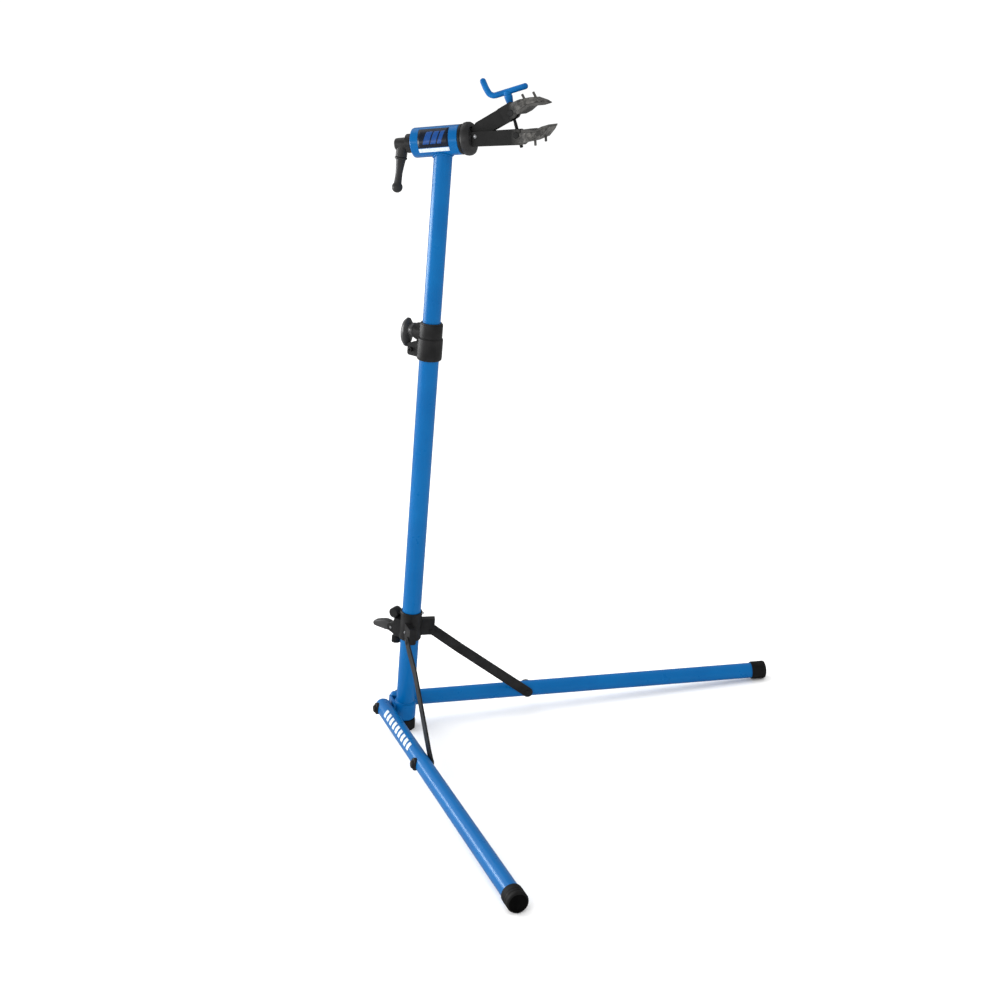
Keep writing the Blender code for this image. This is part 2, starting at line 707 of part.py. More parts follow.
def height_collar_bushing(nylon):
    """The glide ring that guides the upper tube."""
    return ring(
        "height_collar_bushing",
        UPPER_TUBE_RADIUS + 0.0003,
        UPPER_TUBE_RADIUS + 0.0040,
        LOWER_TUBE_TOP + 0.0010,
        HEIGHT_COLLAR_HIGH + 0.0022,
        mast_placement(),
        nylon,
        FINE,
        0.0008,
    )


def ear_bolt(steel):
    """The socket-head bolt across the clamp ears."""
    frame = placement(behind_mast(EAR_BOLT_REACH, EAR_BOLT_HEIGHT), MAST, -LEFT)
    bolt = rod("height_collar_bolt", 0.0030, -0.0150, 0.0120, frame, steel, COARSE)
    head = rod("head", 0.0055, 0.0114, 0.0164, frame, steel, COARSE, 0.0006)
    combine(bolt, head, "UNION")
    socket = prism("socket", hexagon(0.0029), 0.0140, 0.0180, frame, None)
    return combine(bolt, socket, "DIFFERENCE")


def ear_nut(steel):
    frame = placement(behind_mast(EAR_BOLT_REACH, EAR_BOLT_HEIGHT), MAST, LEFT)
    nut = prism("height_collar_nut", hexagon(0.0064), 0.0114, 0.0158, frame, steel)
    hole = rod("hole", 0.0033, 0.0, 0.03, frame, None)
    return combine(nut, hole, "DIFFERENCE")


def height_knob(plastic):
    """The clamp knob: a round neck with a long lens-shaped grip across its end."""
    frame = placement(KNOB_HEIGHT * MAST, MAST, -FRONT)
    neck_profile = [(0.0, 0.0398), (0.0150, 0.0398), (0.0164, 0.0412), (0.0166, 0.0440)]
    neck_profile += [(0.0158, 0.0480), (0.0140, 0.0520), (0.0115, 0.0575), (0.0, 0.0575)]
    knob = turned("height_knob", neck_profile, frame, plastic, MEDIUM)
    centre = frame @ Matrix.Translation((-KNOB_DROP, 0.0, 0.0))
    profile = [(0.0, 0.0540), (0.0180, 0.0545), (0.0290, 0.0572), (KNOB_HALF_LENGTH, 0.0610)]
    profile += [(0.0325, 0.0650), (0.0270, 0.0703), (0.0170, 0.0745), (0.0080, 0.0762), (0.0, 0.0767)]
    lens = turned("lens", profile, centre, plastic, MEDIUM)
    lens.data.transform(Matrix.Scale(KNOB_HALF_WIDTH / KNOB_HALF_LENGTH, 4, (0.0, 1.0, 0.0)))
    return combine(knob, lens, "UNION")


def height_knob_stem(steel):
    """The knob's screw, which reaches into the collar's boss."""
    frame = placement(KNOB_HEIGHT * MAST, MAST, -FRONT)
    return rod("height_knob_stem", 0.0050, 0.0290, 0.0365, frame, steel, COARSE, 0.0005)


# ---------------------------------------------------------------- upper mast


def upper_tube_low():
    return CLAMP_ALONG_MAST - UPPER_TUBE_LENGTH


def upper_mast_tube(paint):
    """The inner tube, its top cut to the round of the barrel."""
    inner = UPPER_TUBE_RADIUS - TUBE_WALL
    tube = ring(
        "upper_mast_tube",
        inner,
        UPPER_TUBE_RADIUS,
        upper_tube_low(),
        CLAMP_ALONG_MAST,
        mast_placement(),
        paint,
        FINE,
    )
    cut_frame = placement(BARREL_CENTRE, HEAD_UP, BARREL)
    cut = rod("cut", BARREL_RADIUS + 0.0003, -0.1, 0.1, cut_frame, None, FINE)
    return combine(tube, cut, "DIFFERENCE")


def slide_plug(nylon):
    """The plug under the inner tube. It slides in the lower tube and the inner tube turns on it."""
    low = upper_tube_low()
    spigot = UPPER_TUBE_RADIUS - TUBE_WALL - 0.0004
    profile = [(0.0, low - 0.0180), (0.0190, low - 0.0180), (0.0203, low - 0.0160), (0.0203, low - 0.0004)]
    profile += [(spigot, low - 0.0004), (spigot, low + 0.0200), (0.0, low + 0.0200)]
    return turned("slide_plug", profile, mast_placement(), nylon, FINE)


def clamp_barrel(paint):
    """The welded cross barrel with rounded ends."""
    back, front, radius = BARREL_BACK, BARREL_FRONT, BARREL_RADIUS
    profile = [(BARREL_BORE, back), (radius - 0.0030, back), (radius - 0.0008, back + 0.0012)]
    profile += [(radius, back + 0.0035), (radius, front - 0.0010), (radius - 0.0010, front)]
    profile += [(BARREL_BORE, front)]
    frame = placement(BARREL_CENTRE, HEAD_UP, BARREL)
    return turned("clamp_barrel", profile, frame, paint, FINE)


def barrel_bushing(name, low, high, nylon):
    frame = placement(BARREL_CENTRE, HEAD_UP, BARREL)
    return ring(name, SPINDLE_RADIUS + 0.0003, BARREL_BORE - 0.0004, low, high, frame, nylon, MEDIUM)


def front_ring(plastic):
    """The black ring flush with the barrel's front end."""
    frame = placement(BARREL_CENTRE, HEAD_UP, BARREL)
    low = BARREL_FRONT + 0.0004
    return ring("barrel_front_ring", 0.0130, 0.0314, low, low + 0.0058, frame, plastic, FINE, 0.0008)


def rear_washer(plastic):
    frame = placement(BARREL_CENTRE, HEAD_UP, BARREL)
    high = BARREL_BACK - 0.0004
    return ring("barrel_rear_washer", 0.0124, 0.0175, high - 0.0030, high, frame, plastic, MEDIUM, 0.0006)


# ---------------------------------------------------------------- clamp head


def spindle(steel):
    """The shaft through the barrel, with a thinner threaded tail for the lock crank."""
    frame = placement(BARREL_CENTRE, HEAD_UP, BARREL)
    profile = [(0.0, -0.0980), (SPINDLE_TAIL_RADIUS - 0.001, -0.0980), (SPINDLE_TAIL_RADIUS, -0.0970)]
    profile += [(SPINDLE_TAIL_RADIUS, -0.0712), (SPINDLE_RADIUS, -0.0712), (SPINDLE_RADIUS, 0.0460), (0.0, 0.0460)]
    return turned("head_spindle", profile, frame, steel, MEDIUM)


def jaw_pivot():
    return at_head(JAW_PIVOT_REACH, JAW_PIVOT_RISE)


def head_hub(plastic):
    """The rotating hub: a thick rounded disc with a pocket that holds the jaws' rear ends."""
    frame = placement(BARREL_CENTRE, HEAD_UP, BARREL)
    profile = [(0.0, 0.0464), (0.0150, 0.0464), (0.0150, 0.0450), (0.0310, 0.0450), (0.0338, 0.0480)]
    profile += [(0.0348, 0.0530), (0.0344, 0.0600), (0.0310, 0.0650), (0.0240, 0.0670), (0.0, 0.0670)]
    hub = turned("head_hub", profile, frame, plastic, FINE)
    pocket = rod("pocket", 0.0218, -0.0181, 0.0181, placement(jaw_pivot(), BARREL, HEAD_SIDE), None, FINE)
    return combine(hub, pocket, "DIFFERENCE")


def jaw_frame_of(angle, inner_sign):
    """x runs out along the arm from its root, y towards the other jaw, z across."""
    along = math.cos(angle) * BARREL + math.sin(angle) * HEAD_UP
    inward = inner_sign * (math.cos(angle) * HEAD_UP - math.sin(angle) * BARREL)
    return placement(at_head(JAW_ROOT_REACH, JAW_PIVOT_RISE), along, along.cross(inward))


def jaw_head_block(frame, material):
    """The wide end of a jaw: a wedge whose back slopes up to a thin lip."""
    outline = [(0.096, 0.0030), (0.108, 0.0030), (0.124, 0.0035), (0.140, 0.0020), (0.156, 0.0070)]
    outline += [(0.1710, 0.0125), (0.1700, 0.0100), (0.1540, -0.0068), (0.1320, -0.0140)]
    outline += [(0.112, -0.0170), (0.096, -0.0170)]
    side = prism("side", outline, -0.040, 0.040, frame, material)
    turn = Matrix.Rotation(math.radians(90), 4, "X")
    plan = [(0.090, -0.0175), (0.104, -0.0180), (0.120, -0.0310), (0.126, -0.0330), (0.165, -0.0330)]
    plan += [(0.1720, -0.0280), (0.1720, 0.0280), (0.165, 0.0330), (0.126, 0.0330), (0.120, 0.0310)]
    plan += [(0.104, 0.0180), (0.090, 0.0175)]
    top = prism("top", plan, -0.060, 0.060, frame @ turn, material)
    return combine(side, top, "INTERSECT")


def lower_jaw(steel):
    """The fixed jaw: two cheeks with an outer web, and the wide end."""
    frame = jaw_frame_of(LOWER_JAW_ANGLE, 1)
    side_outline = arc((0.0040, -0.0055), 0.0150, 90, 270, 10)
    side_outline += [(0.106, -0.0215), (0.112, -0.0170), (0.112, 0.0030), (0.100, 0.0105)]
    jaw = prism("lower_jaw", side_outline, -0.0178, 0.0178, frame, steel)
    tongue_room = [(-0.030, -0.0170), (0.0850, -0.0170), (0.0850, 0.0300), (-0.030, 0.0300)]
    room = prism("room", tongue_room, -0.0120, 0.0120, frame, None)
    combine(jaw, room, "DIFFERENCE")
    end_room = box("end_room", (-0.030, -0.030, -0.0120), (-0.0010, 0.030, 0.0120), frame, None)
    combine(jaw, end_room, "DIFFERENCE")
    slot = box("slot", (0.0820, -0.0400, -0.0092), (0.1085, 0.0300, 0.0092), frame, None)
    combine(jaw, slot, "DIFFERENCE")
    combine(jaw, jaw_head_block(frame, steel), "UNION")
    return finish_jaw(jaw, frame)


def upper_jaw(steel):
    """The moving jaw: a tongue between the lower jaw's cheeks, then the same wide end."""
    frame = jaw_frame_of(UPPER_JAW_ANGLE, -1)
    tongue = arc((0.0050, -0.0030), 0.0125, 90, 270, 10)
    tongue += [(0.020, -0.0215), (0.0900, -0.0215), (0.0900, 0.0105)]
    jaw = prism("upper_jaw", tongue, -0.0116, 0.0116, frame, steel)
    wide = [(0.0760, -0.0215), (0.106, -0.0215), (0.112, -0.0170), (0.112, 0.0030), (0.100, 0.0105)]
    wide += [(0.0800, 0.0105)]
    block = prism("wide", wide, -0.0178, 0.0178, frame, steel)
    combine(jaw, block, "UNION")
    slot = box("slot", (0.0850, -0.0400, -0.0092), (0.1085, 0.0300, 0.0092), frame, None)
    combine(jaw, slot, "DIFFERENCE")
    combine(jaw, jaw_head_block(frame, steel), "UNION")
    recess = box("recess", (0.0830, -0.0400, -0.0106), (0.1150, -0.0080, 0.0106), frame, None)
    combine(jaw, recess, "DIFFERENCE")
    return finish_jaw(jaw, frame)


def finish_jaw(jaw, frame):
    """Bores the pin hole and the trunnion hole, and clears the slot through the wide end."""
    across_jaw = frame.to_3x3() @ Vector((0.0, 0.0, 1.0))
    drill(jaw, jaw_pivot(), across_jaw, JAW_PIN_RADIUS + 0.0003, 0.04)
    trunnion = frame @ Vector((TRUNNION_REACH, TRUNNION_DEPTH, 0.0))
    drill(jaw, trunnion, across_jaw, TRUNNION_RADIUS + 0.0003, 0.04)
    slot = box("slot", (0.0850, -0.0400, -0.0092), (0.1085, 0.0300, 0.0092), frame, None)
    combine(jaw, slot, "DIFFERENCE")
    for along, _base, _end in JAW_PLUGS:
        combine(jaw, jaw_plug("hole", frame, along, JAW_PLUG_RADIUS + 0.0003, -0.03, 0.03), "DIFFERENCE")
    return jaw


def jaw_plug(name, frame, along, radius, low, high):
    """A rod through the jaw from its gripping side to its back."""
    point = frame @ Vector((along, 0.0, 0.0))
    outward = frame.to_3x3() @ Vector((0.0, -1.0, 0.0))
    lengthwise = frame.to_3x3() @ Vector((1.0, 0.0, 0.0))
    chamfer = 0.0008 if low > -0.02 else 0.0
    return rod(name, radius, low, high, placement(point, lengthwise, outward), None, COARSE, chamfer)


def jaw_pad(name, frame, rubber):
    """The rubber cover on a jaw's gripping face, with a shallow V across it and two plugs
    that stand out through the jaw's back."""
    outline = [(0.1125, 0.0036), (0.124, 0.0039), (0.140, 0.0024), (0.156, 0.0074), (0.1716, 0.0130)]
    outline += [(0.1722, 0.0170), (0.1560, 0.0135), (0.1420, 0.0072), (0.1270, 0.0100), (0.1125, 0.0095)]
    pad = prism(name, outline, -0.0325, 0.0325, frame, rubber)
    for along, base, end in JAW_PLUGS:
        combine(pad, jaw_plug("plug", frame, along, JAW_PLUG_RADIUS, -base, end), "UNION")
    return pad


def jaw_pin(steel):
    """The bright pin that the upper jaw swings on, riveted over outside the lower jaw's cheeks."""
    frame = placement(jaw_pivot(), HEAD_UP, HEAD_SIDE)
    shaft = JAW_PIN_RADIUS
    profile = [(0.0, -0.0198), (0.0030, -0.0195), (0.0042, -0.0187), (0.0044, -0.0181), (shaft, -0.0181)]
    profile += [(shaft, 0.0181), (0.0044, 0.0181), (0.0042, 0.0187), (0.0030, 0.0195), (0.0, 0.0198)]
    return turned("jaw_pin", profile, frame, steel, COARSE)


def screw_direction():
    angle = 0.5 * (LOWER_JAW_ANGLE + UPPER_JAW_ANGLE)
    return math.cos(angle) * HEAD_UP - math.sin(angle) * BARREL


def trunnion_point(angle, inner_sign):
    return jaw_frame_of(angle, inner_sign) @ Vector((TRUNNION_REACH, TRUNNION_DEPTH, 0.0))


def trunnion(name, angle, inner_sign, steel):
    """A cross pin with a hole for the clamp screw."""
    point = trunnion_point(angle, inner_sign)
    frame = placement(point, HEAD_UP, HEAD_SIDE)
    pin = rod(name, TRUNNION_RADIUS, -0.0186, 0.0186, frame, steel, MEDIUM, 0.0006)
    return drill(pin, point, screw_direction(), SCREW_RADIUS + 0.0004, 0.02)


def handle_frame():
    """Origin at the upper trunnion, z up the screw, x along the handle's bar."""
    up = screw_direction()
    return placement(trunnion_point(UPPER_JAW_ANGLE, -1), BARREL, up)


def clamp_screw(steel):
    frame = handle_frame()
    return rod("clamp_screw", SCREW_RADIUS, -0.0720, 0.0300, frame, steel, COARSE, 0.0010)


def screw_collar(steel):
    """The thrust collar that rests on the upper trunnion's jaw."""
    frame = handle_frame()
    return ring("clamp_screw_collar", SCREW_RADIUS + 0.0003, 0.0082, 0.0120, 0.0180, frame, steel, MEDIUM, 0.0006)


def handle_boss(blue):
    """The dipped socket on the screw's head, tapering up to the bar."""
    frame = handle_frame()
    profile = [(SCREW_RADIUS + 0.0003, 0.0190), (0.0064, 0.0190), (0.0070, 0.0210), (0.0088, 0.0330)]
    profile += [(0.0082, 0.0368), (0.0, 0.0368), (0.0, 0.0304), (SCREW_RADIUS + 0.0003, 0.0304)]
    return turned("clamp_handle_boss", profile, frame, blue, MEDIUM)


def bent_handle(blue):
    """The bar: a bent rod with round ends, one end turned up."""
    frame = handle_frame()
    curve = bpy.data.curves.new("clamp_handle", "CURVE")
    curve.dimensions = "3D"
    curve.bevel_depth = HANDLE_ROD_RADIUS
    curve.bevel_resolution = 3
    curve.use_fill_caps = True
    bend_radius = 0.0150
    points = [(-0.0445, 0.0780), (-0.0425, 0.0640)]
    points += [
        (-0.0255 + bend_radius * math.cos(math.radians(a)), HANDLE_HEIGHT + bend_radius + bend_radius * math.sin(math.radians(a)))
        for a in range(188, 271, 16)
    ]
    points += [(-0.0100, HANDLE_HEIGHT), (0.0400, HANDLE_HEIGHT)]
    spline = curve.splines.new("POLY")
    spline.points.add(len(points) - 1)
    for point, (x, z) in zip(spline.points, points):
        point.co = (x, 0.0, z, 1.0)
    curve_object = bpy.data.objects.new("guide", curve)
    bpy.context.scene.collection.objects.link(curve_object)
    curve_object.matrix_world = frame
    bpy.context.view_layer.update()
    graph = bpy.context.evaluated_depsgraph_get()
    mesh = bpy.data.meshes.new_from_object(curve_object.evaluated_get(graph), depsgraph=graph)
    bpy.data.objects.remove(curve_object, do_unlink=True)
    shape = bmesh.new()
    shape.from_mesh(mesh)
    bmesh.ops.remove_doubles(shape, verts=shape.verts, dist=1e-6)
    bmesh.ops.recalc_face_normals(shape, faces=shape.faces)
    bar = new_object("clamp_handle", shape, frame, blue)
    for x, z in (points[0], points[-1]):
        ball = round_end(frame @ Vector((x, 0.0, z)), blue)
        combine(bar, ball, "UNION")
    seat = rod("seat", 0.0082, 0.0371, HANDLE_HEIGHT, frame, blue, MEDIUM)
    return combine(bar, seat, "UNION")


def round_end(point, material):
    steps = 6
    radius = HANDLE_ROD_RADIUS * 1.01
    profile = []
    for step in range(steps + 1):
        angle = math.pi * step / steps
        profile.append((radius * math.sin(angle), -radius * math.cos(angle)))
    profile[0] = (0.0, -radius)
    profile[-1] = (0.0, radius)
    return turned("end", profile, Matrix.Translation(point), material, COARSE)


# ---------------------------------------------------------------- lock crank


def crank_hub(plastic):
    """The crank's hub: a round body on the spindle's tail with a socket for the grip."""
    frame = placement(BARREL_CENTRE, HEAD_UP, BARREL)
    profile = [(0.0, -0.1100), (0.0112, -0.1100), (0.0126, -0.1086), (0.0130, -0.1040), (0.0132, -0.0860)]
    profile += [(0.0198, -0.0830), (0.0198, -0.0735), (0.0190, -0.0718), (0.0, -0.0718)]
    hub = turned("crank_hub", profile, frame, plastic, MEDIUM)
    socket = rod("socket", 0.0122, 0.0, 0.0265, crank_grip_frame(), plastic, MEDIUM, 0.001)
    combine(hub, socket, "UNION")
    bore = rod("bore", SPINDLE_TAIL_RADIUS + 0.0003, -0.0990, -0.06, frame, None, MEDIUM)
    combine(hub, bore, "DIFFERENCE")
    grip_bore = rod("grip_bore", 0.0053, 0.0150, 0.0400, crank_grip_frame(), None, COARSE)
    return combine(hub, grip_bore, "DIFFERENCE")


def crank_grip_frame():
    """z runs down the grip from the crank's hub."""
    start = at_head(-0.0945, -0.0010)
    end = at_head(-0.1185, -0.0960)
    return placement(start, BARREL, end - start)


def crank_grip(plastic):
    """The hanging grip: a slim waist swelling to a ball."""
    profile = [(0.0, 0.0160), (0.0050, 0.0160), (0.0050, 0.0268), (0.0128, 0.0268), (0.0132, 0.0278)]
    profile += [(0.0132, 0.0298), (0.0126, 0.0308), (0.0110, 0.0312), (0.0102, 0.0360), (0.0088, 0.0480), (0.0076, 0.0600), (0.0078, 0.0700)]
    ball = 0.0118
    profile += [
        (ball * math.sin(math.radians(a)), 0.0905 - ball * math.cos(math.radians(a)))
        for a in range(45, 180, 15)
    ]
    profile += [(0.0, 0.0905 + ball)]
    return turned("crank_grip", profile, crank_grip_frame(), plastic, MEDIUM)


# ---------------------------------------------------------------- assembly


def build_root(looks):
    lower_mast_tube(looks["blue_paint"])
    mast_foot(looks["black_rubber"])
    base_bracket(looks["blue_paint"])
    height_collar_body(looks["black_plastic"])
    height_collar_bushing(looks["nylon"])
    ear_bolt(looks["black_steel"])
    ear_nut(looks["black_steel"])
    stud = leg_pivot_stud(looks["black_steel"])
    nut = lock_nut("left_pivot_nut", in_leg_plane(LEG_PIVOT_FRONT, LEG_PIVOT_HEIGHT, 0.0), looks["black_steel"])
    for piece in (stud, nut):
        mirrored(piece, piece.name.replace("left", "right"))


def build_legs(looks):
    leg = [leg_tube(looks["blue_paint"]), leg_cap(looks["black_rubber"])]
    leg.append(
        saddle_washer("left_pivot_washer", LEG_PIVOT_FRONT, LEG_PIVOT_HEIGHT, looks["black_plastic"])
    )
    pin = strut_pin_point()
    leg.append(
        saddle_washer("left_strut_saddle", pin.dot(LEG_FRONT), pin.dot(MAST), looks["black_plastic"])
    )
    leg.append(strut_bolt(looks["black_steel"]))
    leg.append(lock_nut("left_strut_nut", pin, looks["black_steel"]))
    strut = [strut_bar(looks["black_steel"]), strut_rivet(looks["black_steel"])]
    for pieces, name, point in ((leg, "leg_pivot", LEG_PIVOT), (strut, "strut_pivot", strut_eye_point())):
        right = [mirrored(piece, piece.name.replace("left", "right")) for piece in pieces]
        carry(pieces, "left_" + name, point)
        carry(right, "right_" + name, Vector((point.x, -point.y, point.z)))


def build_fold_collar(looks):
    rivet = collar_rivet(looks["black_steel"])
    pieces = [fold_collar_body(looks["black_plastic"]), rivet, mirrored(rivet, "right_collar_rivet")]
    pieces.append(fold_lever_pin(looks["bare_steel"]))
    pieces.append(collar_screw(looks["bare_steel"]))
    pieces.append(lug_bolt(looks["bare_steel"]))
    carry(pieces, "fold_collar_slide", FOLD_COLLAR_LOW * MAST)
    lever_point = behind_mast(FOLD_LEVER_REACH, FOLD_LEVER_HEIGHT)
    carry([fold_lever(looks["black_plastic"])], "fold_lever_pivot", lever_point)
    carry([thumb_nut(looks["black_plastic"])], "thumb_nut_axis", behind_mast(THUMB_NUT_REACH, 0.23))


def build_height_collar(looks):
    pieces = [height_knob(looks["black_plastic"]), height_knob_stem(looks["bare_steel"])]
    carry(pieces, "height_knob_axis", behind_mast(0.0368, KNOB_HEIGHT))


def build_upper_mast(looks):
    carry([slide_plug(looks["nylon"])], "height_slide", upper_tube_low() * MAST)
    pieces = [upper_mast_tube(looks["blue_paint"]), clamp_barrel(looks["blue_paint"])]
    pieces.append(barrel_bushing("barrel_rear_bushing", BARREL_BACK + 0.0002, -0.0400, looks["nylon"]))
    pieces.append(barrel_bushing("barrel_front_bushing", 0.0150, BARREL_FRONT - 0.0002, looks["nylon"]))
    pieces.append(front_ring(looks["black_plastic"]))
    pieces.append(rear_washer(looks["black_plastic"]))
    carry(pieces, "mast_swivel", CLAMP_ALONG_MAST * MAST)
    crank = [crank_hub(looks["black_plastic"]), crank_grip(looks["black_plastic"])]
    carry(crank, "crank_axis", at_head(-0.0718))


def build_clamp(looks):
    lower_frame = jaw_frame_of(LOWER_JAW_ANGLE, 1)
    upper_frame = jaw_frame_of(UPPER_JAW_ANGLE, -1)
    head = [spindle(looks["bare_steel"]), head_hub(looks["black_plastic"])]
    head.append(lower_jaw(looks["black_steel"]))
    head.append(jaw_pad("lower_jaw_pad", lower_frame, looks["black_rubber"]))
    head.append(jaw_pin(looks["bare_steel"]))
    upper = [upper_jaw(looks["black_steel"]), jaw_pad("upper_jaw_pad", upper_frame, looks["black_rubber"])]
    pivot = at_head(JAW_PIVOT_REACH, JAW_PIVOT_RISE)
    carry(head, "head_spin", at_head(0.0))
    carry(upper, "jaw_pivot", pivot)
    lower_trunnion = trunnion("lower_trunnion", LOWER_JAW_ANGLE, 1, looks["black_steel"])
    carry([lower_trunnion], "lower_trunnion_axis", trunnion_point(LOWER_JAW_ANGLE, 1))
    upper_trunnion = trunnion("upper_trunnion", UPPER_JAW_ANGLE, -1, looks["black_steel"])
    carry([upper_trunnion], "upper_trunnion_axis", trunnion_point(UPPER_JAW_ANGLE, -1))
    screw = [clamp_screw(looks["black_steel"]), screw_collar(looks["black_steel"])]
    screw.append(handle_boss(looks["blue_dip"]))
    screw.append(bent_handle(looks["blue_dip"]))
    carry(screw, "screw_axis", trunnion_point(UPPER_JAW_ANGLE, -1))


def main():
    for item in list(bpy.data.objects):
        bpy.data.objects.remove(item, do_unlink=True)
    looks = make_materials()
    build_root(looks)
    build_legs(looks)
    build_fold_collar(looks)
    build_height_collar(looks)
    build_upper_mast(looks)
    build_clamp(looks)


main()
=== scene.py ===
import json
import math

import bmesh
import bpy
from mathutils import Matrix, Vector


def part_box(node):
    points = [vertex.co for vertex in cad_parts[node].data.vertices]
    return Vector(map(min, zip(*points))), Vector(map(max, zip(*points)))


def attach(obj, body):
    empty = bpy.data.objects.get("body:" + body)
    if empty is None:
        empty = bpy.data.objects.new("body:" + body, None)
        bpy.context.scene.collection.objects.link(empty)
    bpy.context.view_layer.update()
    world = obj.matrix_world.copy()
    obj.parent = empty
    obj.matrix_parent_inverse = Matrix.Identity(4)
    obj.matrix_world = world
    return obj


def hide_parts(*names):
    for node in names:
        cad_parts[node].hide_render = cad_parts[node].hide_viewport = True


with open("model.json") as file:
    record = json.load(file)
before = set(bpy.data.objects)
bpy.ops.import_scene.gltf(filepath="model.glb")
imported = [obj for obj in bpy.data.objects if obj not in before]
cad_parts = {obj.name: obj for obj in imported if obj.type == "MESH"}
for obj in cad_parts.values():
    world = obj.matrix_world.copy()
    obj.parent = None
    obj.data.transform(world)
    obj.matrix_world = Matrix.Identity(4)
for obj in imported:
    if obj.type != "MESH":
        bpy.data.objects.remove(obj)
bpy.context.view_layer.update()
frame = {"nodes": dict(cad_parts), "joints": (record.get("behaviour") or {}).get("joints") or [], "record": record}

# ---------------------------------------------------------------- directions and points of the stand

joints = {joint["name"]: joint for joint in frame["joints"]}


def joint_axis(name):
    return Vector(joints[name]["axis"]).normalized()


def joint_point(name):
    return Vector(joints[name]["pos_m"])


UP = Vector((0.0, 0.0, 1.0))
LEFT = Vector((0.0, 1.0, 0.0))
MAST = joint_axis("height_slide")
FRONT = LEFT.cross(MAST).normalized()
BARREL = joint_axis("head_spin")
BARREL_CENTRE = joint_point("head_spin")
HEAD_SIDE = UP.cross(BARREL).normalized()
HEAD_UP = BARREL.cross(HEAD_SIDE).normalized()
JAW_PIVOT = joint_point("jaw_swing")
SCREW = joint_axis("screw_spin")
SCREW_POINT = joint_point("screw_spin")


def placement(origin, x_axis, z_axis):
    """A matrix at origin whose z runs along z_axis and whose x is as near x_axis as it can be."""
    z = z_axis.normalized()
    x = (x_axis - x_axis.dot(z) * z).normalized()
    y = z.cross(x)
    matrix = Matrix((x, y, z)).transposed().to_4x4()
    matrix.translation = origin
    return matrix


def spread(node, axis):
    """The lowest and highest reach of a node's points along an axis."""
    reach = [vertex.co.dot(axis) for vertex in frame["nodes"][node].data.vertices]
    return min(reach), max(reach)


def radius_about(node, origin, axis):
    """How far a node's points reach from a line."""
    far = 0.0
    for vertex in frame["nodes"][node].data.vertices:
        arm = vertex.co - origin
        far = max(far, (arm - arm.dot(axis) * axis).length)
    return far


# ---------------------------------------------------------------- materials


class Finish:
    """Builds one procedural material out of a few layers, in metres of the object's own space."""

    def __init__(self, name):
        self.material = bpy.data.materials.new(name)
        self.material.use_nodes = True
        self.tree = self.material.node_tree
        self.shader = self.tree.nodes["Principled BSDF"]
        self.coords = self.node("ShaderNodeTexCoord").outputs["Object"]
        self.normal = None

    def node(self, kind, **settings):
        made = self.tree.nodes.new(kind)
        for key, value in settings.items():
            setattr(made, key, value)
        return made

    def link(self, source, target):
        self.tree.links.new(source, target)

    def constant(self, **sockets):
        """Sets the shader's own inputs; an underscore stands for a space."""
        for key, value in sockets.items():
            self.shader.inputs[key.replace("_", " ")].default_value = value

    def mapped(self, scale):
        """The coordinates stretched by a scale per axis."""
        mapping = self.node("ShaderNodeMapping")
        mapping.inputs["Scale"].default_value = scale
        self.link(self.coords, mapping.inputs["Vector"])
        return mapping.outputs["Vector"]

    def noise(self, scale, detail=2.0, roughness=0.5, vector=None):
        texture = self.node("ShaderNodeTexNoise")
        texture.inputs["Scale"].default_value = scale
        texture.inputs["Detail"].default_value = detail
        texture.inputs["Roughness"].default_value = roughness
        self.link(vector or self.coords, texture.inputs["Vector"])
        return texture.outputs["Fac"]

    def cells(self, scale):
        texture = self.node("ShaderNodeTexVoronoi", feature="F1")
        texture.inputs["Scale"].default_value = scale
        self.link(self.coords, texture.inputs["Vector"])
        return texture.outputs["Distance"]

    def along(self, axis):
        """How far a point lies along an axis, in metres."""
        dot = self.node("ShaderNodeVectorMath", operation="DOT_PRODUCT")
        dot.inputs[1].default_value = axis
        self.link(self.coords, dot.inputs[0])
        return dot.outputs["Value"]

    def ramp(self, factor, low, high, start=0.0, end=1.0):
        """Maps factor from start..end onto low..high."""
        node = self.node("ShaderNodeMapRange")
        node.inputs["From Min"].default_value = start
        node.inputs["From Max"].default_value = end
        node.inputs["To Min"].default_value = low
        node.inputs["To Max"].default_value = high
        self.link(factor, node.inputs["Value"])
        return node.outputs["Result"]

    def mix(self, factor, first, second):
        """Mixes two colours, each a tuple or a socket."""
        node = self.node("ShaderNodeMix", data_type="RGBA")
        self.link(factor, node.inputs["Factor"])
        for socket, value in ((node.inputs[6], first), (node.inputs[7], second)):
            if isinstance(value, tuple):
                socket.default_value = (*value, 1.0)
            else:
                self.link(value, socket)
        return node.outputs[2]

    def multiply(self, first, second):
        node = self.node("ShaderNodeMath", operation="MULTIPLY")
        self.link(first, node.inputs[0])
        self.link(second, node.inputs[1])
        return node.outputs[0]

    def bump(self, height, strength, distance):
        node = self.node("ShaderNodeBump")
        node.inputs["Strength"].default_value = strength
        node.inputs["Distance"].default_value = distance
        self.link(height, node.inputs["Height"])
        if self.normal is not None:
            self.link(self.normal, node.inputs["Normal"])
        self.normal = node.outputs["Normal"]

    def done(self, colour, roughness):
        self.link(colour, self.shader.inputs["Base Color"])
        self.link(roughness, self.shader.inputs["Roughness"])
        if self.normal is not None:
            self.link(self.normal, self.shader.inputs["Normal"])
        return self.material


SPECK_START, SPECK_END = 0.74, 0.80
PATCH_START, PATCH_END = 0.48, 0.62


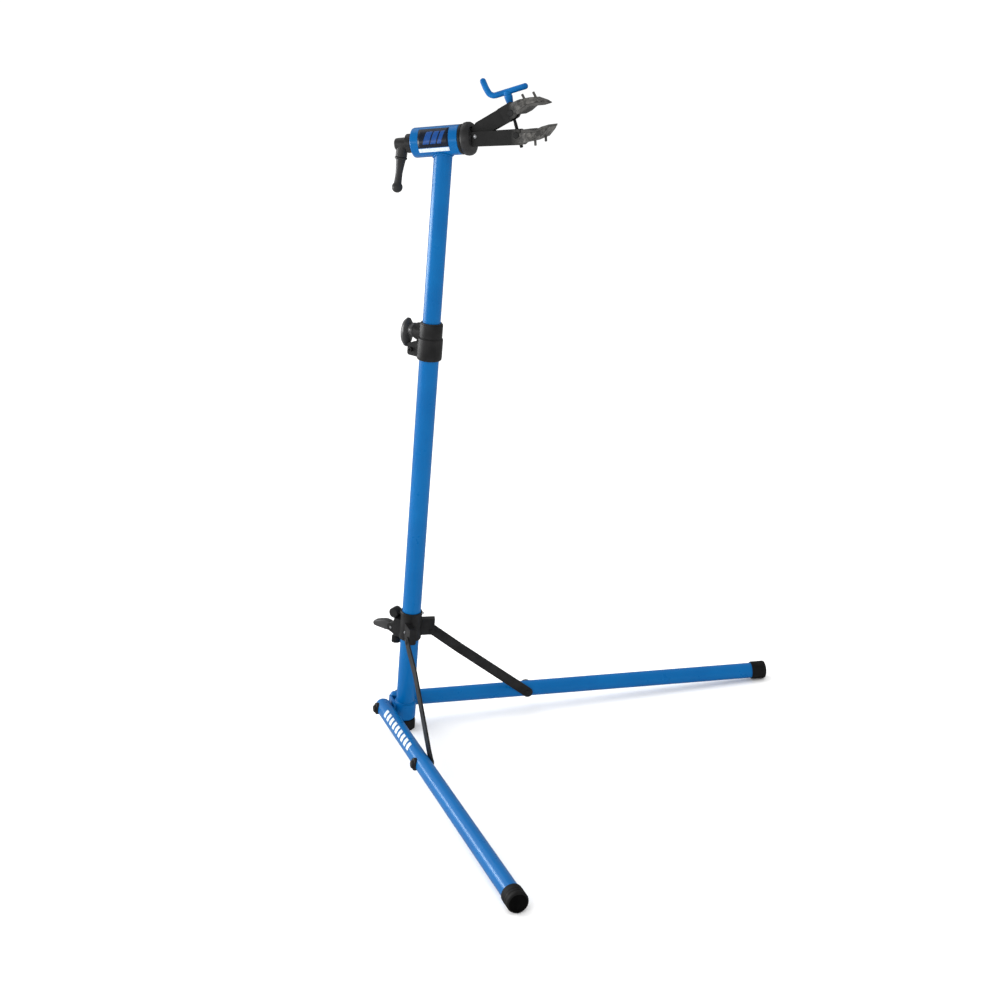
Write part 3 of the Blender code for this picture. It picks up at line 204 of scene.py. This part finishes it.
def worn(finish, colour, worn_colour, scale, amount):
    """Scatters small rubbed specks of worn_colour: amount is roughly the share they cover."""
    specks = finish.noise(scale, 6.0, 0.65, finish.mapped((1.0, 1.0, 0.45)))
    patches = finish.noise(scale * 0.12, 3.0, 0.5)
    mask = finish.multiply(
        finish.ramp(specks, 0.0, 1.0, SPECK_START - amount, SPECK_END - amount),
        finish.ramp(patches, 0.0, 1.0, PATCH_START, PATCH_END),
    )
    return finish.mix(mask, colour, worn_colour)


def blue_paint(name, light, deep, worn_colour):
    """Gloss powder coat: orange peel, a slow drift of tone, and a few rubbed specks."""
    finish = Finish(name)
    drift = finish.noise(9.0, 3.0, 0.55)
    tone = finish.mix(finish.ramp(drift, 0.0, 1.0, 0.35, 0.65), deep, light)
    colour = worn(finish, tone, worn_colour, 260.0, 0.02)
    haze = finish.noise(45.0, 4.0, 0.6)
    rough = finish.ramp(haze, 0.26, 0.36, 0.3, 0.7)
    finish.bump(finish.noise(620.0, 2.0, 0.5), 0.10, 0.0003)
    finish.bump(finish.noise(90.0, 2.0, 0.5), 0.06, 0.0006)
    finish.constant(Specular_IOR_Level=0.34, Coat_Weight=0.15, Coat_Roughness=0.20, Metallic=0.0)
    finish.constant(Specular_Tint=(0.30, 0.72, 1.0, 1.0))
    return finish.done(colour, rough)


def moulded(name, low, high, rough, grain, specular):
    """Moulded plastic or rubber: a fine spark-eroded grain, dull and shiny patches, faint dust.

    low and high bound its colour, rough its roughness; grain is the scale and strength of its texture.
    """
    finish = Finish(name)
    cloud = finish.noise(34.0, 4.0, 0.6)
    tone = finish.mix(finish.ramp(cloud, 0.0, 1.0, 0.35, 0.68), low, high)
    dust = tuple(0.6 * value + 0.05 for value in high)
    colour = worn(finish, tone, dust, 190.0, 0.02)
    dullness = finish.ramp(finish.noise(70.0, 3.0, 0.6), rough[0], rough[1], 0.3, 0.7)
    finish.bump(finish.noise(grain[0], 3.0, 0.6), grain[1], 0.0004)
    finish.constant(Specular_IOR_Level=specular, Metallic=0.0)
    return finish.done(colour, dullness)


def coated_steel(name, low, high):
    """Black wrinkle coat on pressed steel."""
    finish = Finish(name)
    cells = finish.cells(1100.0)
    cloud = finish.noise(28.0, 3.0, 0.6)
    tone = finish.mix(finish.ramp(cloud, 0.0, 1.0, 0.35, 0.65), low, high)
    colour = worn(finish, tone, (0.11, 0.11, 0.115), 300.0, 0.03)
    rough = finish.ramp(finish.noise(60.0, 3.0, 0.6), 0.42, 0.60, 0.3, 0.7)
    finish.bump(cells, 0.22, 0.0004)
    finish.bump(finish.noise(320.0, 2.0, 0.5), 0.16, 0.0004)
    finish.constant(Specular_IOR_Level=0.30, Metallic=0.0)
    return finish.done(colour, rough)


def bright_steel(name):
    """Zinc-plated steel with a fine turned grain."""
    finish = Finish(name)
    grain = finish.noise(420.0, 4.0, 0.7, finish.mapped((1.0, 1.0, 9.0)))
    tone = finish.mix(finish.noise(60.0, 3.0, 0.6), (0.46, 0.47, 0.49), (0.66, 0.67, 0.68))
    rough = finish.ramp(grain, 0.22, 0.42, 0.3, 0.7)
    finish.bump(grain, 0.10, 0.0002)
    finish.constant(Metallic=1.0)
    return finish.done(tone, rough)


def jaw_coat(name):
    """The jaws' coat: dark on the arms, and towards the wide ends a mottled grey that is a painted sheen for the
    light falling on their plates.
    """
    finish = Finish(name)
    along = finish.along(BARREL)
    reach = JAW_PIVOT.dot(BARREL)
    # painted sheen: how much of the lighter grey shows, rising towards the wide ends
    painted_sheen_share = finish.ramp(along, 0.0, 1.0, reach + 0.078, reach + 0.110)
    arm = finish.mix(finish.noise(30.0, 3.0, 0.6), (0.006, 0.006, 0.006), (0.012, 0.012, 0.012))
    patches = finish.ramp(finish.noise(75.0, 4.0, 0.7), 0.0, 1.0, 0.40, 0.60)
    # the lighter grey of the ends is painted light on the plates, mottled in patches
    end = finish.mix(patches, (0.030, 0.029, 0.027), (0.125, 0.120, 0.112))
    colour = worn(finish, finish.mix(painted_sheen_share, arm, end), (0.11, 0.11, 0.115), 300.0, 0.03)
    rough = finish.ramp(finish.noise(60.0, 3.0, 0.6), 0.45, 0.62, 0.3, 0.7)
    finish.bump(finish.cells(900.0), 0.16, 0.0004)
    finish.bump(finish.noise(140.0, 3.0, 0.6), 0.25, 0.0006)
    finish.constant(Specular_IOR_Level=0.30, Metallic=0.0)
    return finish.done(colour, rough)


def dipped_vinyl(name):
    """The handle's thick dipped coat: slightly wavy, waxy and soft in its highlights."""
    finish = Finish(name)
    cloud = finish.noise(40.0, 3.0, 0.5)
    clouds = finish.ramp(cloud, 0.0, 1.0, 0.35, 0.65)
    tone = finish.mix(clouds, (0.0, 0.085, 0.29), (0.001, 0.115, 0.36))
    colour = worn(finish, tone, (0.02, 0.20, 0.50), 210.0, 0.02)
    rough = finish.ramp(finish.noise(80.0, 3.0, 0.6), 0.30, 0.46, 0.3, 0.7)
    finish.bump(finish.noise(150.0, 2.0, 0.5), 0.12, 0.0008)
    finish.constant(Specular_IOR_Level=0.35, Metallic=0.0)
    finish.constant(Specular_Tint=(0.35, 0.65, 1.0, 1.0))
    return finish.done(colour, rough)


def printed(name, low, high):
    """Printed film: a flat ink, faintly uneven, with a soft gloss."""
    finish = Finish(name)
    tone = finish.mix(finish.ramp(finish.noise(260.0, 4.0, 0.6), 0.0, 1.0, 0.4, 0.6), low, high)
    colour = worn(finish, tone, tuple(0.8 * value + 0.06 for value in high), 320.0, 0.02)
    rough = finish.ramp(finish.noise(120.0, 2.0, 0.5), 0.24, 0.36, 0.3, 0.7)
    finish.bump(finish.noise(900.0, 2.0, 0.5), 0.05, 0.0002)
    finish.constant(Specular_IOR_Level=0.4, Metallic=0.0)
    return finish.done(colour, rough)


BLUE = blue_paint("blue_powder_coat", (0.0, 0.109, 0.330), (0.0, 0.094, 0.300), (0.02, 0.15, 0.42))
PLASTIC = moulded(
    "black_moulded_plastic", (0.006, 0.006, 0.0064), (0.014, 0.014, 0.0145),
    rough=(0.36, 0.52), grain=(1500.0, 0.20), specular=0.30,
)
RUBBER = moulded(
    "black_rubber", (0.003, 0.003, 0.0032), (0.009, 0.009, 0.009),
    rough=(0.50, 0.70), grain=(900.0, 0.25), specular=0.22,
)
STEEL = coated_steel("black_wrinkle_coat", (0.007, 0.007, 0.0073), (0.015, 0.015, 0.0155))
ZINC = bright_steel("zinc_plate")
VINYL = dipped_vinyl("blue_dipped_vinyl")
NYLON = moulded(
    "dark_nylon", (0.012, 0.012, 0.0125), (0.022, 0.022, 0.023),
    rough=(0.38, 0.50), grain=(700.0, 0.10), specular=0.4,
)
PAD_RUBBER = moulded(
    "jaw_pad_rubber", (0.040, 0.039, 0.037), (0.105, 0.101, 0.095),
    rough=(0.60, 0.80), grain=(520.0, 0.45), specular=0.35,
)
JAW_COAT = jaw_coat("jaw_coat")
# A lighter copy of the black plastic for the knob and the lever: its extra lightness is a painted highlight for
# the light on them.
LIT_GRIP_PLASTIC = moulded(
    "grip_plastic_painted_lit", (0.026, 0.026, 0.027), (0.042, 0.042, 0.043),
    rough=(0.30, 0.44), grain=(1300.0, 0.16), specular=0.45,
)
HUB_PLASTIC = moulded(
    "hub_plastic", (0.014, 0.014, 0.0145), (0.025, 0.0245, 0.025),
    rough=(0.36, 0.50), grain=(1300.0, 0.18), specular=0.38,
)
# Near-black, dull rubber for the caps' end faces: darker than the cap's rubber, the extra darkness is painted
# shade on those faces.
SHADED_SOLE_RUBBER = moulded(
    "sole_rubber_painted_shade", (0.0008, 0.0008, 0.0008), (0.003, 0.003, 0.003),
    rough=(0.80, 0.92), grain=(900.0, 0.25), specular=0.06,
)
INK_NAVY = printed("navy_print", (0.0015, 0.0045, 0.0130), (0.0025, 0.0080, 0.0220))
INK_BLUE = printed("blue_print", (0.002, 0.045, 0.200), (0.004, 0.060, 0.250))
INK_WHITE = printed("white_print", (0.50, 0.58, 0.64), (0.66, 0.72, 0.78))

SLOT_MATERIALS = {
    "blue_paint": BLUE,
    "black_plastic": PLASTIC,
    "black_rubber": RUBBER,
    "black_steel": STEEL,
    "bare_steel": ZINC,
    "blue_dip": VINYL,
    "nylon": NYLON,
}
NODE_MATERIALS = {
    "lower_jaw_pad": PAD_RUBBER,
    "upper_jaw_pad": PAD_RUBBER,
    "lower_jaw": JAW_COAT,
    "upper_jaw": JAW_COAT,
    "height_knob": LIT_GRIP_PLASTIC,
    "fold_lever": LIT_GRIP_PLASTIC,
    "crank_hub": HUB_PLASTIC,
    "crank_grip": HUB_PLASTIC,
    "head_hub": HUB_PLASTIC,
}

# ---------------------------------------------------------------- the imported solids, softened


def assign(obj, material):
    data = obj.data
    data.materials.clear()
    data.materials.append(material)


BEVEL_ANGLE = math.radians(38.0)
SPLIT_ANGLE = math.radians(46.0)
WELD_DISTANCE = 0.00002


def dress(obj, material, width):
    """Rounds a solid's sharp edges and gives it smooth shading and its finish."""
    assign(obj, material)
    for polygon in obj.data.polygons:
        polygon.use_smooth = True
        polygon.material_index = 0
    weld = obj.modifiers.new("weld", "WELD")
    weld.merge_threshold = WELD_DISTANCE
    if width > 0.0:
        bevel = obj.modifiers.new("bevel", "BEVEL")
        bevel.width = width
        bevel.segments = 2
        bevel.limit_method = "ANGLE"
        bevel.angle_limit = BEVEL_ANGLE
        bevel.miter_outer = "MITER_ARC"
        bevel.use_clamp_overlap = True
    split = obj.modifiers.new("split", "EDGE_SPLIT")
    split.split_angle = SPLIT_ANGLE
    normals = obj.modifiers.new("normals", "WEIGHTED_NORMAL")
    normals.keep_sharp = True
    normals.weight = 80


BEVELS = {
    "base_bracket": 0.0008,
    "fold_collar_body": 0.0009,
    "height_collar_body": 0.0009,
    "head_hub": 0.0008,
    "lower_jaw": 0.0010,
    "upper_jaw": 0.0010,
    "lower_jaw_pad": 0.0007,
    "upper_jaw_pad": 0.0007,
    "left_strut": 0.0008,
    "right_strut": 0.0008,
    "mast_foot": 0.0010,
    "height_knob": 0.0006,
    "crank_hub": 0.0006,
    "fold_lever": 0.0,
    "clamp_handle": 0.0,
    "clamp_barrel": 0.0,
    "crank_grip": 0.0,
    "left_leg_cap": 0.0,
    "right_leg_cap": 0.0,
}
DEFAULT_BEVEL = 0.0004

slots = {part["node"]: part["material_slot"] for part in frame["record"]["subparts"]}
for node_name, node_object in frame["nodes"].items():
    node_material = NODE_MATERIALS.get(node_name, SLOT_MATERIALS[slots[node_name]])
    dress(node_object, node_material, BEVELS.get(node_name, DEFAULT_BEVEL))

# ---------------------------------------------------------------- helpers for added pieces


def piece(name, shape, material, body):
    """Makes a smooth shaded object of a shape and lets it ride a body."""
    mesh = bpy.data.meshes.new(name)
    bmesh.ops.recalc_face_normals(shape, faces=shape.faces)
    shape.to_mesh(mesh)
    shape.free()
    for polygon in mesh.polygons:
        polygon.use_smooth = True
    obj = bpy.data.objects.new(name, mesh)
    bpy.context.scene.collection.objects.link(obj)
    assign(obj, material)
    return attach(obj, body)


def swept(shape, points, radius, steps, closed=False, ripple=0.0, ripples=0):
    """A round bead along points, with an optional ripple in its thickness."""
    count = len(points)
    rings = []
    reference = None
    for index, point in enumerate(points):
        before = points[(index - 1) % count] if closed or index else point
        after = points[(index + 1) % count] if closed or index < count - 1 else point
        tangent = (after - before).normalized()
        if reference is None:
            reference = tangent.orthogonal().normalized()
        reference = (reference - reference.dot(tangent) * tangent).normalized()
        other = tangent.cross(reference)
        thick = radius * (1.0 + ripple * math.sin(2.0 * math.pi * ripples * index / count))
        ring = []
        for step in range(steps):
            turn = 2.0 * math.pi * step / steps
            out = math.cos(turn) * reference + math.sin(turn) * other
            ring.append(shape.verts.new(point + thick * out))
        rings.append(ring)
    pairs = list(zip(rings, rings[1:]))
    if closed:
        best = min(range(steps), key=lambda shift: (rings[0][shift].co - rings[-1][0].co).length)
        pairs.append((rings[-1], rings[0][best:] + rings[0][:best]))
    for first, second in pairs:
        for step in range(steps):
            following = (step + 1) % steps
            shape.faces.new((first[step], first[following], second[following], second[step]))
    if not closed:
        shape.faces.new(list(reversed(rings[0])))
        shape.faces.new(rings[-1])
    return shape


def lathed(shape, profile, matrix, steps):
    """Turns a profile of (radius, height), from axis to axis, about the z axis of matrix."""
    rings = []
    for radius, height in profile:
        if radius < 1e-7:
            rings.append([shape.verts.new(matrix @ Vector((0.0, 0.0, height)))])
            continue
        ring = []
        for step in range(steps):
            turn = 2.0 * math.pi * step / steps
            point = Vector((radius * math.cos(turn), radius * math.sin(turn), height))
            ring.append(shape.verts.new(matrix @ point))
        rings.append(ring)
    for first, second in zip(rings, rings[1:]):
        for step in range(steps):
            following = (step + 1) % steps
            if len(first) == 1:
                shape.faces.new((first[0], second[following], second[step]))
            elif len(second) == 1:
                shape.faces.new((first[step], first[following], second[0]))
            else:
                shape.faces.new((first[step], first[following], second[following], second[step]))
    return shape


FILM_THICKNESS = 0.00012
FILM_LIFT = 0.00005


def film(shape, point_at, across_steps, along_steps):
    """A thin closed film: point_at(u, v, lift) gives its points for u and v in 0..1."""
    sheets = []
    for lift in (0.0, FILM_THICKNESS):
        sheet = []
        for i in range(across_steps + 1):
            row = [point_at(i / across_steps, j / along_steps, lift) for j in range(along_steps + 1)]
            sheet.append([shape.verts.new(point) for point in row])
        sheets.append(sheet)
    low, high = sheets
    for i in range(across_steps):
        for j in range(along_steps):
            shape.faces.new((low[i][j], low[i][j + 1], low[i + 1][j + 1], low[i + 1][j]))
            shape.faces.new((high[i][j], high[i + 1][j], high[i + 1][j + 1], high[i][j + 1]))
    edge = [(i, 0) for i in range(across_steps)] + [(across_steps, j) for j in range(along_steps)]
    edge += [(i, along_steps) for i in range(across_steps, 0, -1)]
    edge += [(0, j) for j in range(along_steps, 0, -1)]
    for (i, j), (k, l) in zip(edge, edge[1:] + edge[:1]):
        shape.faces.new((low[i][j], low[k][l], high[k][l], high[i][j]))
    return shape


# ---------------------------------------------------------------- printed panel on the barrel

BARREL_RADIUS = radius_about("clamp_barrel", BARREL_CENTRE, BARREL)


def barrel_film(name, start, end, low_turn, high_turn, lift, material, skew=0.0):
    """A film on the barrel's right side, from start to end along it.

    The turns are in degrees from its top, and skew slants its ends.
    """

    def point_at(u, v, rise):
        turn = math.radians(low_turn + (high_turn - low_turn) * v)
        along = start + (end - start) * u + skew * (v - 0.5)
        out = math.cos(turn) * HEAD_UP - math.sin(turn) * HEAD_SIDE
        return BARREL_CENTRE + along * BARREL + (BARREL_RADIUS + lift + rise) * out

    shape = film(bmesh.new(), point_at, 12, 16)
    return piece(name, shape, material, "upper_mast")


PANEL_START, PANEL_END = -0.0485, 0.0195
PANEL_TOP, PANEL_BOTTOM = 32.0, 112.0
FOOT_GAP, FOOT_WIDTH = 2.0, 17.0
FOOT_TOP = PANEL_BOTTOM + FOOT_GAP
BARS = ((-0.0330, -0.0190), (-0.0160, -0.0040), (-0.0010, 0.0080))
BAR_TOP, BAR_BOTTOM = 48.0, 98.0
BAR_LIFT = 0.0002
BAR_SLANT = -0.009

barrel_film("barrel_panel", PANEL_START, PANEL_END, PANEL_TOP, PANEL_BOTTOM, FILM_LIFT, INK_NAVY)
barrel_film(
    "barrel_panel_foot", PANEL_START, PANEL_END, FOOT_TOP, FOOT_TOP + FOOT_WIDTH, FILM_LIFT, INK_WHITE
)
for bar_index, (bar_start, bar_end) in enumerate(BARS):
    bar_name = f"barrel_panel_bar_{bar_index}"
    barrel_film(bar_name, bar_start, bar_end, BAR_TOP, BAR_BOTTOM, BAR_LIFT, INK_BLUE, BAR_SLANT)

# ---------------------------------------------------------------- weld beads


BEAD_STEPS = 96
SADDLE_BEAD_RADIUS = 0.0022
BRACKET_BEAD_RADIUS = 0.0019
BRACKET_BEAD_HEIGHT = 0.0748


def saddle_bead():
    """The weld where the inner tube's top meets the barrel."""
    tube_radius = radius_about("upper_mast_tube", BARREL_CENTRE, MAST) + 0.0006
    points = []
    for step in range(BEAD_STEPS):
        turn = 2.0 * math.pi * step / BEAD_STEPS
        foot = tube_radius * (math.cos(turn) * FRONT + math.sin(turn) * LEFT)
        low, high = -0.08, 0.0
        for _ in range(40):
            middle = 0.5 * (low + high)
            arm = foot + middle * MAST
            arm -= arm.dot(BARREL) * BARREL
            if arm.length > BARREL_RADIUS + 0.0008:
                low = middle
            else:
                high = middle
        points.append(BARREL_CENTRE + foot + low * MAST)
    shape = swept(bmesh.new(), points, SADDLE_BEAD_RADIUS, 10, True, 0.10, 32)
    piece("barrel_weld", shape, BLUE, "upper_mast")


def bracket_bead():
    """The weld round the lower mast at the top of the base bracket's sleeve."""
    radius = radius_about("lower_mast_tube", Vector(), MAST) + 0.0008
    points = []
    for step in range(BEAD_STEPS):
        turn = 2.0 * math.pi * step / BEAD_STEPS
        foot = radius * (math.cos(turn) * FRONT + math.sin(turn) * LEFT)
        points.append(foot + BRACKET_BEAD_HEIGHT * MAST)
    shape = swept(bmesh.new(), points, BRACKET_BEAD_RADIUS, 8, True, 0.12, 30)
    piece("bracket_weld_top", shape, BLUE, "base")


saddle_bead()
bracket_bead()

# ---------------------------------------------------------------- leg stripes and cap soles


class Leg:
    """One leg's centreline, from beside its pivot to its cap."""

    def __init__(self, side):
        cap_points = [vertex.co for vertex in frame["nodes"][f"{side}_leg_cap"].data.vertices]
        cap_centre = sum(cap_points, Vector()) / len(cap_points)
        hinge = joint_axis(f"{side}_leg_fold")
        arm = cap_centre - joint_point(f"{side}_leg_fold")
        nut_low, nut_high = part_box(f"{side}_pivot_nut")
        nut = 0.5 * (Vector(nut_low) + Vector(nut_high))
        self.body = f"{side}_leg"
        self.along = (arm - arm.dot(hinge) * hinge).normalized()
        self.start = cap_centre - arm.dot(self.along) * self.along
        self.outward = hinge if (nut - self.start).dot(hinge) > 0.0 else -hinge
        self.top = self.along.cross(self.outward)
        if self.top.z < 0.0:
            self.top.negate()
        self.radius = radius_about(f"{side}_leg_tube", self.start, self.along)
        self.end = max((point - self.start).dot(self.along) for point in cap_points)
        self.cap_radius = radius_about(f"{side}_leg_cap", self.start, self.along)

    def point(self, reach):
        return self.start + reach * self.along


STRIPES = 9
STRIPE_START = 0.058
STRIPE_STEP = 0.0232
STRIPE_LENGTH = 0.0145
STRIPE_TOP, STRIPE_BOTTOM = 18.0, 70.0
STRIPE_SLANT = 0.007


def leg_stripe(leg, name, start):
    """A slanted printed stripe across the leg, turned from its top towards its outer side."""

    def point_at(u, v, rise):
        turn = math.radians(STRIPE_TOP + (STRIPE_BOTTOM - STRIPE_TOP) * v)
        reach = start + STRIPE_LENGTH * u + STRIPE_SLANT * (v - 0.5)
        out = math.cos(turn) * leg.top + math.sin(turn) * leg.outward
        return leg.point(reach) + (leg.radius + FILM_LIFT + rise) * out

    piece(name, film(bmesh.new(), point_at, 6, 12), INK_WHITE, leg.body)


def cap_sole(leg, side):
    """The cap's dark end face: a shallow dished disc with a raised rim, darker than the cap's rubber as painted
    shade on that face.
    """
    far = leg.cap_radius
    profile = [
        (0.0, 0.0002),
        (0.42 * far, 0.0003),
        (0.46 * far, 0.0008),
        (0.52 * far, 0.0008),
        (0.56 * far, 0.0003),
        (0.80 * far, 0.0004),
        (0.84 * far, -0.0004),
        (0.0, -0.0004),
    ]
    matrix = placement(leg.point(leg.end), leg.top, leg.along)
    shape = lathed(bmesh.new(), profile, matrix, 56)
    piece(f"{side}_cap_sole", shape, SHADED_SOLE_RUBBER, leg.body)


left_leg, right_leg = Leg("left"), Leg("right")
cap_sole(left_leg, "left")
cap_sole(right_leg, "right")
for stripe_index in range(STRIPES):
    leg_stripe(right_leg, f"right_leg_stripe_{stripe_index}", STRIPE_START + STRIPE_STEP * stripe_index)

# ---------------------------------------------------------------- thread of the clamp screw


THREAD_PITCH = 0.0020
THREADED_SHARE = 0.5
THREAD_DEPTH = 0.0008
THREAD_BEAD_RADIUS = 0.0006
THREAD_STEPS = 18
SCREW_CHAMFER = 0.0006
SCREW_SIDES = 28


def threaded_screw():
    """A rod with a rolled thread along its lower half, in the plain rod's place."""
    low, high = spread("clamp_screw", SCREW)
    length = high - low
    core = radius_about("clamp_screw", SCREW_POINT, SCREW) - THREAD_DEPTH
    foot = SCREW_POINT + (low - SCREW_POINT.dot(SCREW)) * SCREW
    matrix = placement(foot, HEAD_SIDE, SCREW)
    profile = [
        (0.0, 0.0),
        (core - SCREW_CHAMFER, 0.0),
        (core, SCREW_CHAMFER),
        (core, length),
        (0.0, length),
    ]
    shape = lathed(bmesh.new(), profile, matrix, SCREW_SIDES)
    helix_radius = core + 0.0001
    turns = int(THREADED_SHARE * length / THREAD_PITCH)
    points = []
    for step in range(turns * THREAD_STEPS + 1):
        turn = 2.0 * math.pi * step / THREAD_STEPS
        height = 2.0 * SCREW_CHAMFER + THREAD_PITCH * step / THREAD_STEPS
        point = Vector((helix_radius * math.cos(turn), helix_radius * math.sin(turn), height))
        points.append(matrix @ point)
    swept(shape, points, THREAD_BEAD_RADIUS, 6)
    rod = piece("clamp_screw_thread", shape, STEEL, "screw_and_handle")
    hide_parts("clamp_screw")


threaded_screw()

# ---------------------------------------------------------------- floor, light and camera


WORLD_DIFFUSE = 1.16
WORLD_GLOSSY = 0.26
WORLD_SEEN = 1.05
FLOOR_SEEN_GLOSSY = 0.30
FLOOR_HALF = 40.0
FLOOR_DROP = 0.0004


def floor():
    """White paper under the stand, dimmer in reflections than where it is seen."""
    shape = bmesh.new()
    corners = [
        (-FLOOR_HALF, -FLOOR_HALF),
        (FLOOR_HALF, -FLOOR_HALF),
        (FLOOR_HALF, FLOOR_HALF),
        (-FLOOR_HALF, FLOOR_HALF),
    ]
    shape.faces.new([shape.verts.new((x, y, 0.0)) for x, y in corners])
    mesh = bpy.data.meshes.new("floor")
    shape.to_mesh(mesh)
    shape.free()
    obj = bpy.data.objects.new("floor", mesh)
    bpy.context.scene.collection.objects.link(obj)
    obj.location = (0.0, 0.0, -FLOOR_DROP)
    finish = Finish("floor_paper")
    tone = finish.mix(finish.noise(3.0, 3.0, 0.5), (0.965, 0.965, 0.966), (0.985, 0.985, 0.985))
    finish.bump(finish.noise(60.0, 3.0, 0.5), 0.02, 0.001)
    finish.constant(Specular_IOR_Level=0.0)
    path = finish.node("ShaderNodeLightPath")
    dim = (FLOOR_SEEN_GLOSSY, FLOOR_SEEN_GLOSSY, FLOOR_SEEN_GLOSSY)
    tone = finish.mix(path.outputs["Is Glossy Ray"], tone, dim)
    assign(obj, finish.done(tone, finish.ramp(finish.noise(5.0), 0.85, 0.95)))


def soft_light(name, place, target, width, height, power):
    """A rectangular light at place, facing target."""
    light = bpy.data.lights.new(name, "AREA")
    light.shape = "RECTANGLE"
    light.size = width
    light.size_y = height
    light.energy = power
    obj = bpy.data.objects.new(name, light)
    bpy.context.scene.collection.objects.link(obj)
    obj.matrix_world = placement(place, UP, place - target)


def soft_sun(name, direction, strength, angle):
    """A broad, even light from far off, as from a large diffuser; direction points towards it."""
    light = bpy.data.lights.new(name, "SUN")
    light.energy = strength
    light.angle = math.radians(angle)
    obj = bpy.data.objects.new(name, light)
    bpy.context.scene.collection.objects.link(obj)
    obj.matrix_world = placement(Vector((0.0, 0.0, 3.0)), LEFT, Vector(direction))


def surroundings():
    """White studio surroundings, dimmer where they light surfaces than where they are seen."""
    world = bpy.data.worlds.new("studio")
    bpy.context.scene.world = world
    world.use_nodes = True
    tree = world.node_tree
    background = tree.nodes["Background"]
    background.inputs["Color"].default_value = (1.0, 1.0, 1.0, 1.0)
    path = tree.nodes.new("ShaderNodeLightPath")
    glossy = tree.nodes.new("ShaderNodeMapRange")
    glossy.inputs["To Min"].default_value = WORLD_DIFFUSE
    glossy.inputs["To Max"].default_value = WORLD_GLOSSY
    tree.links.new(path.outputs["Is Glossy Ray"], glossy.inputs["Value"])
    seen = tree.nodes.new("ShaderNodeMapRange")
    seen.inputs["To Max"].default_value = WORLD_SEEN
    tree.links.new(path.outputs["Is Camera Ray"], seen.inputs["Value"])
    tree.links.new(glossy.outputs["Result"], seen.inputs["To Min"])
    tree.links.new(seen.outputs["Result"], background.inputs["Strength"])


LENS = 51.91
CAMERA_PLACE = Vector((2.0048, -2.5963, 1.4400))
CAMERA_YAW, CAMERA_PITCH, CAMERA_ROLL = math.radians(122.79), math.radians(15.14), math.radians(-4.51)


def camera():
    """Looks down at the stand from its front right, at its head's height."""
    data = bpy.data.cameras.new("camera")
    data.sensor_width = 36.0
    data.lens = LENS
    data.clip_start = 0.05
    data.clip_end = 200.0
    reach, drop = math.cos(CAMERA_PITCH), math.sin(CAMERA_PITCH)
    ahead = Vector((reach * math.cos(CAMERA_YAW), reach * math.sin(CAMERA_YAW), -drop))
    level = ahead.cross(UP).normalized()
    down = ahead.cross(level)
    right = math.cos(CAMERA_ROLL) * level - math.sin(CAMERA_ROLL) * down
    below = math.sin(CAMERA_ROLL) * level + math.cos(CAMERA_ROLL) * down
    matrix = Matrix((right, -below, -ahead)).transposed().to_4x4()
    matrix.translation = CAMERA_PLACE
    obj = bpy.data.objects.new("camera", data)
    bpy.context.scene.collection.objects.link(obj)
    obj.matrix_world = matrix
    bpy.context.scene.camera = obj


STAND_MIDDLE = Vector((0.2, 0.0, 0.8))

floor()
surroundings()
soft_sun("key", (-0.9, 0.15, 1.15), 0.55, 50.0)
soft_light("strip", Vector((-2.6, -0.9, 1.3)), STAND_MIDDLE, 0.8, 2.8, 70.0)
soft_light("band", Vector((-0.1, -3.3, 1.5)), STAND_MIDDLE, 0.40, 2.8, 17.0)
camera()
bpy.context.scene.view_settings.view_transform = "Standard"
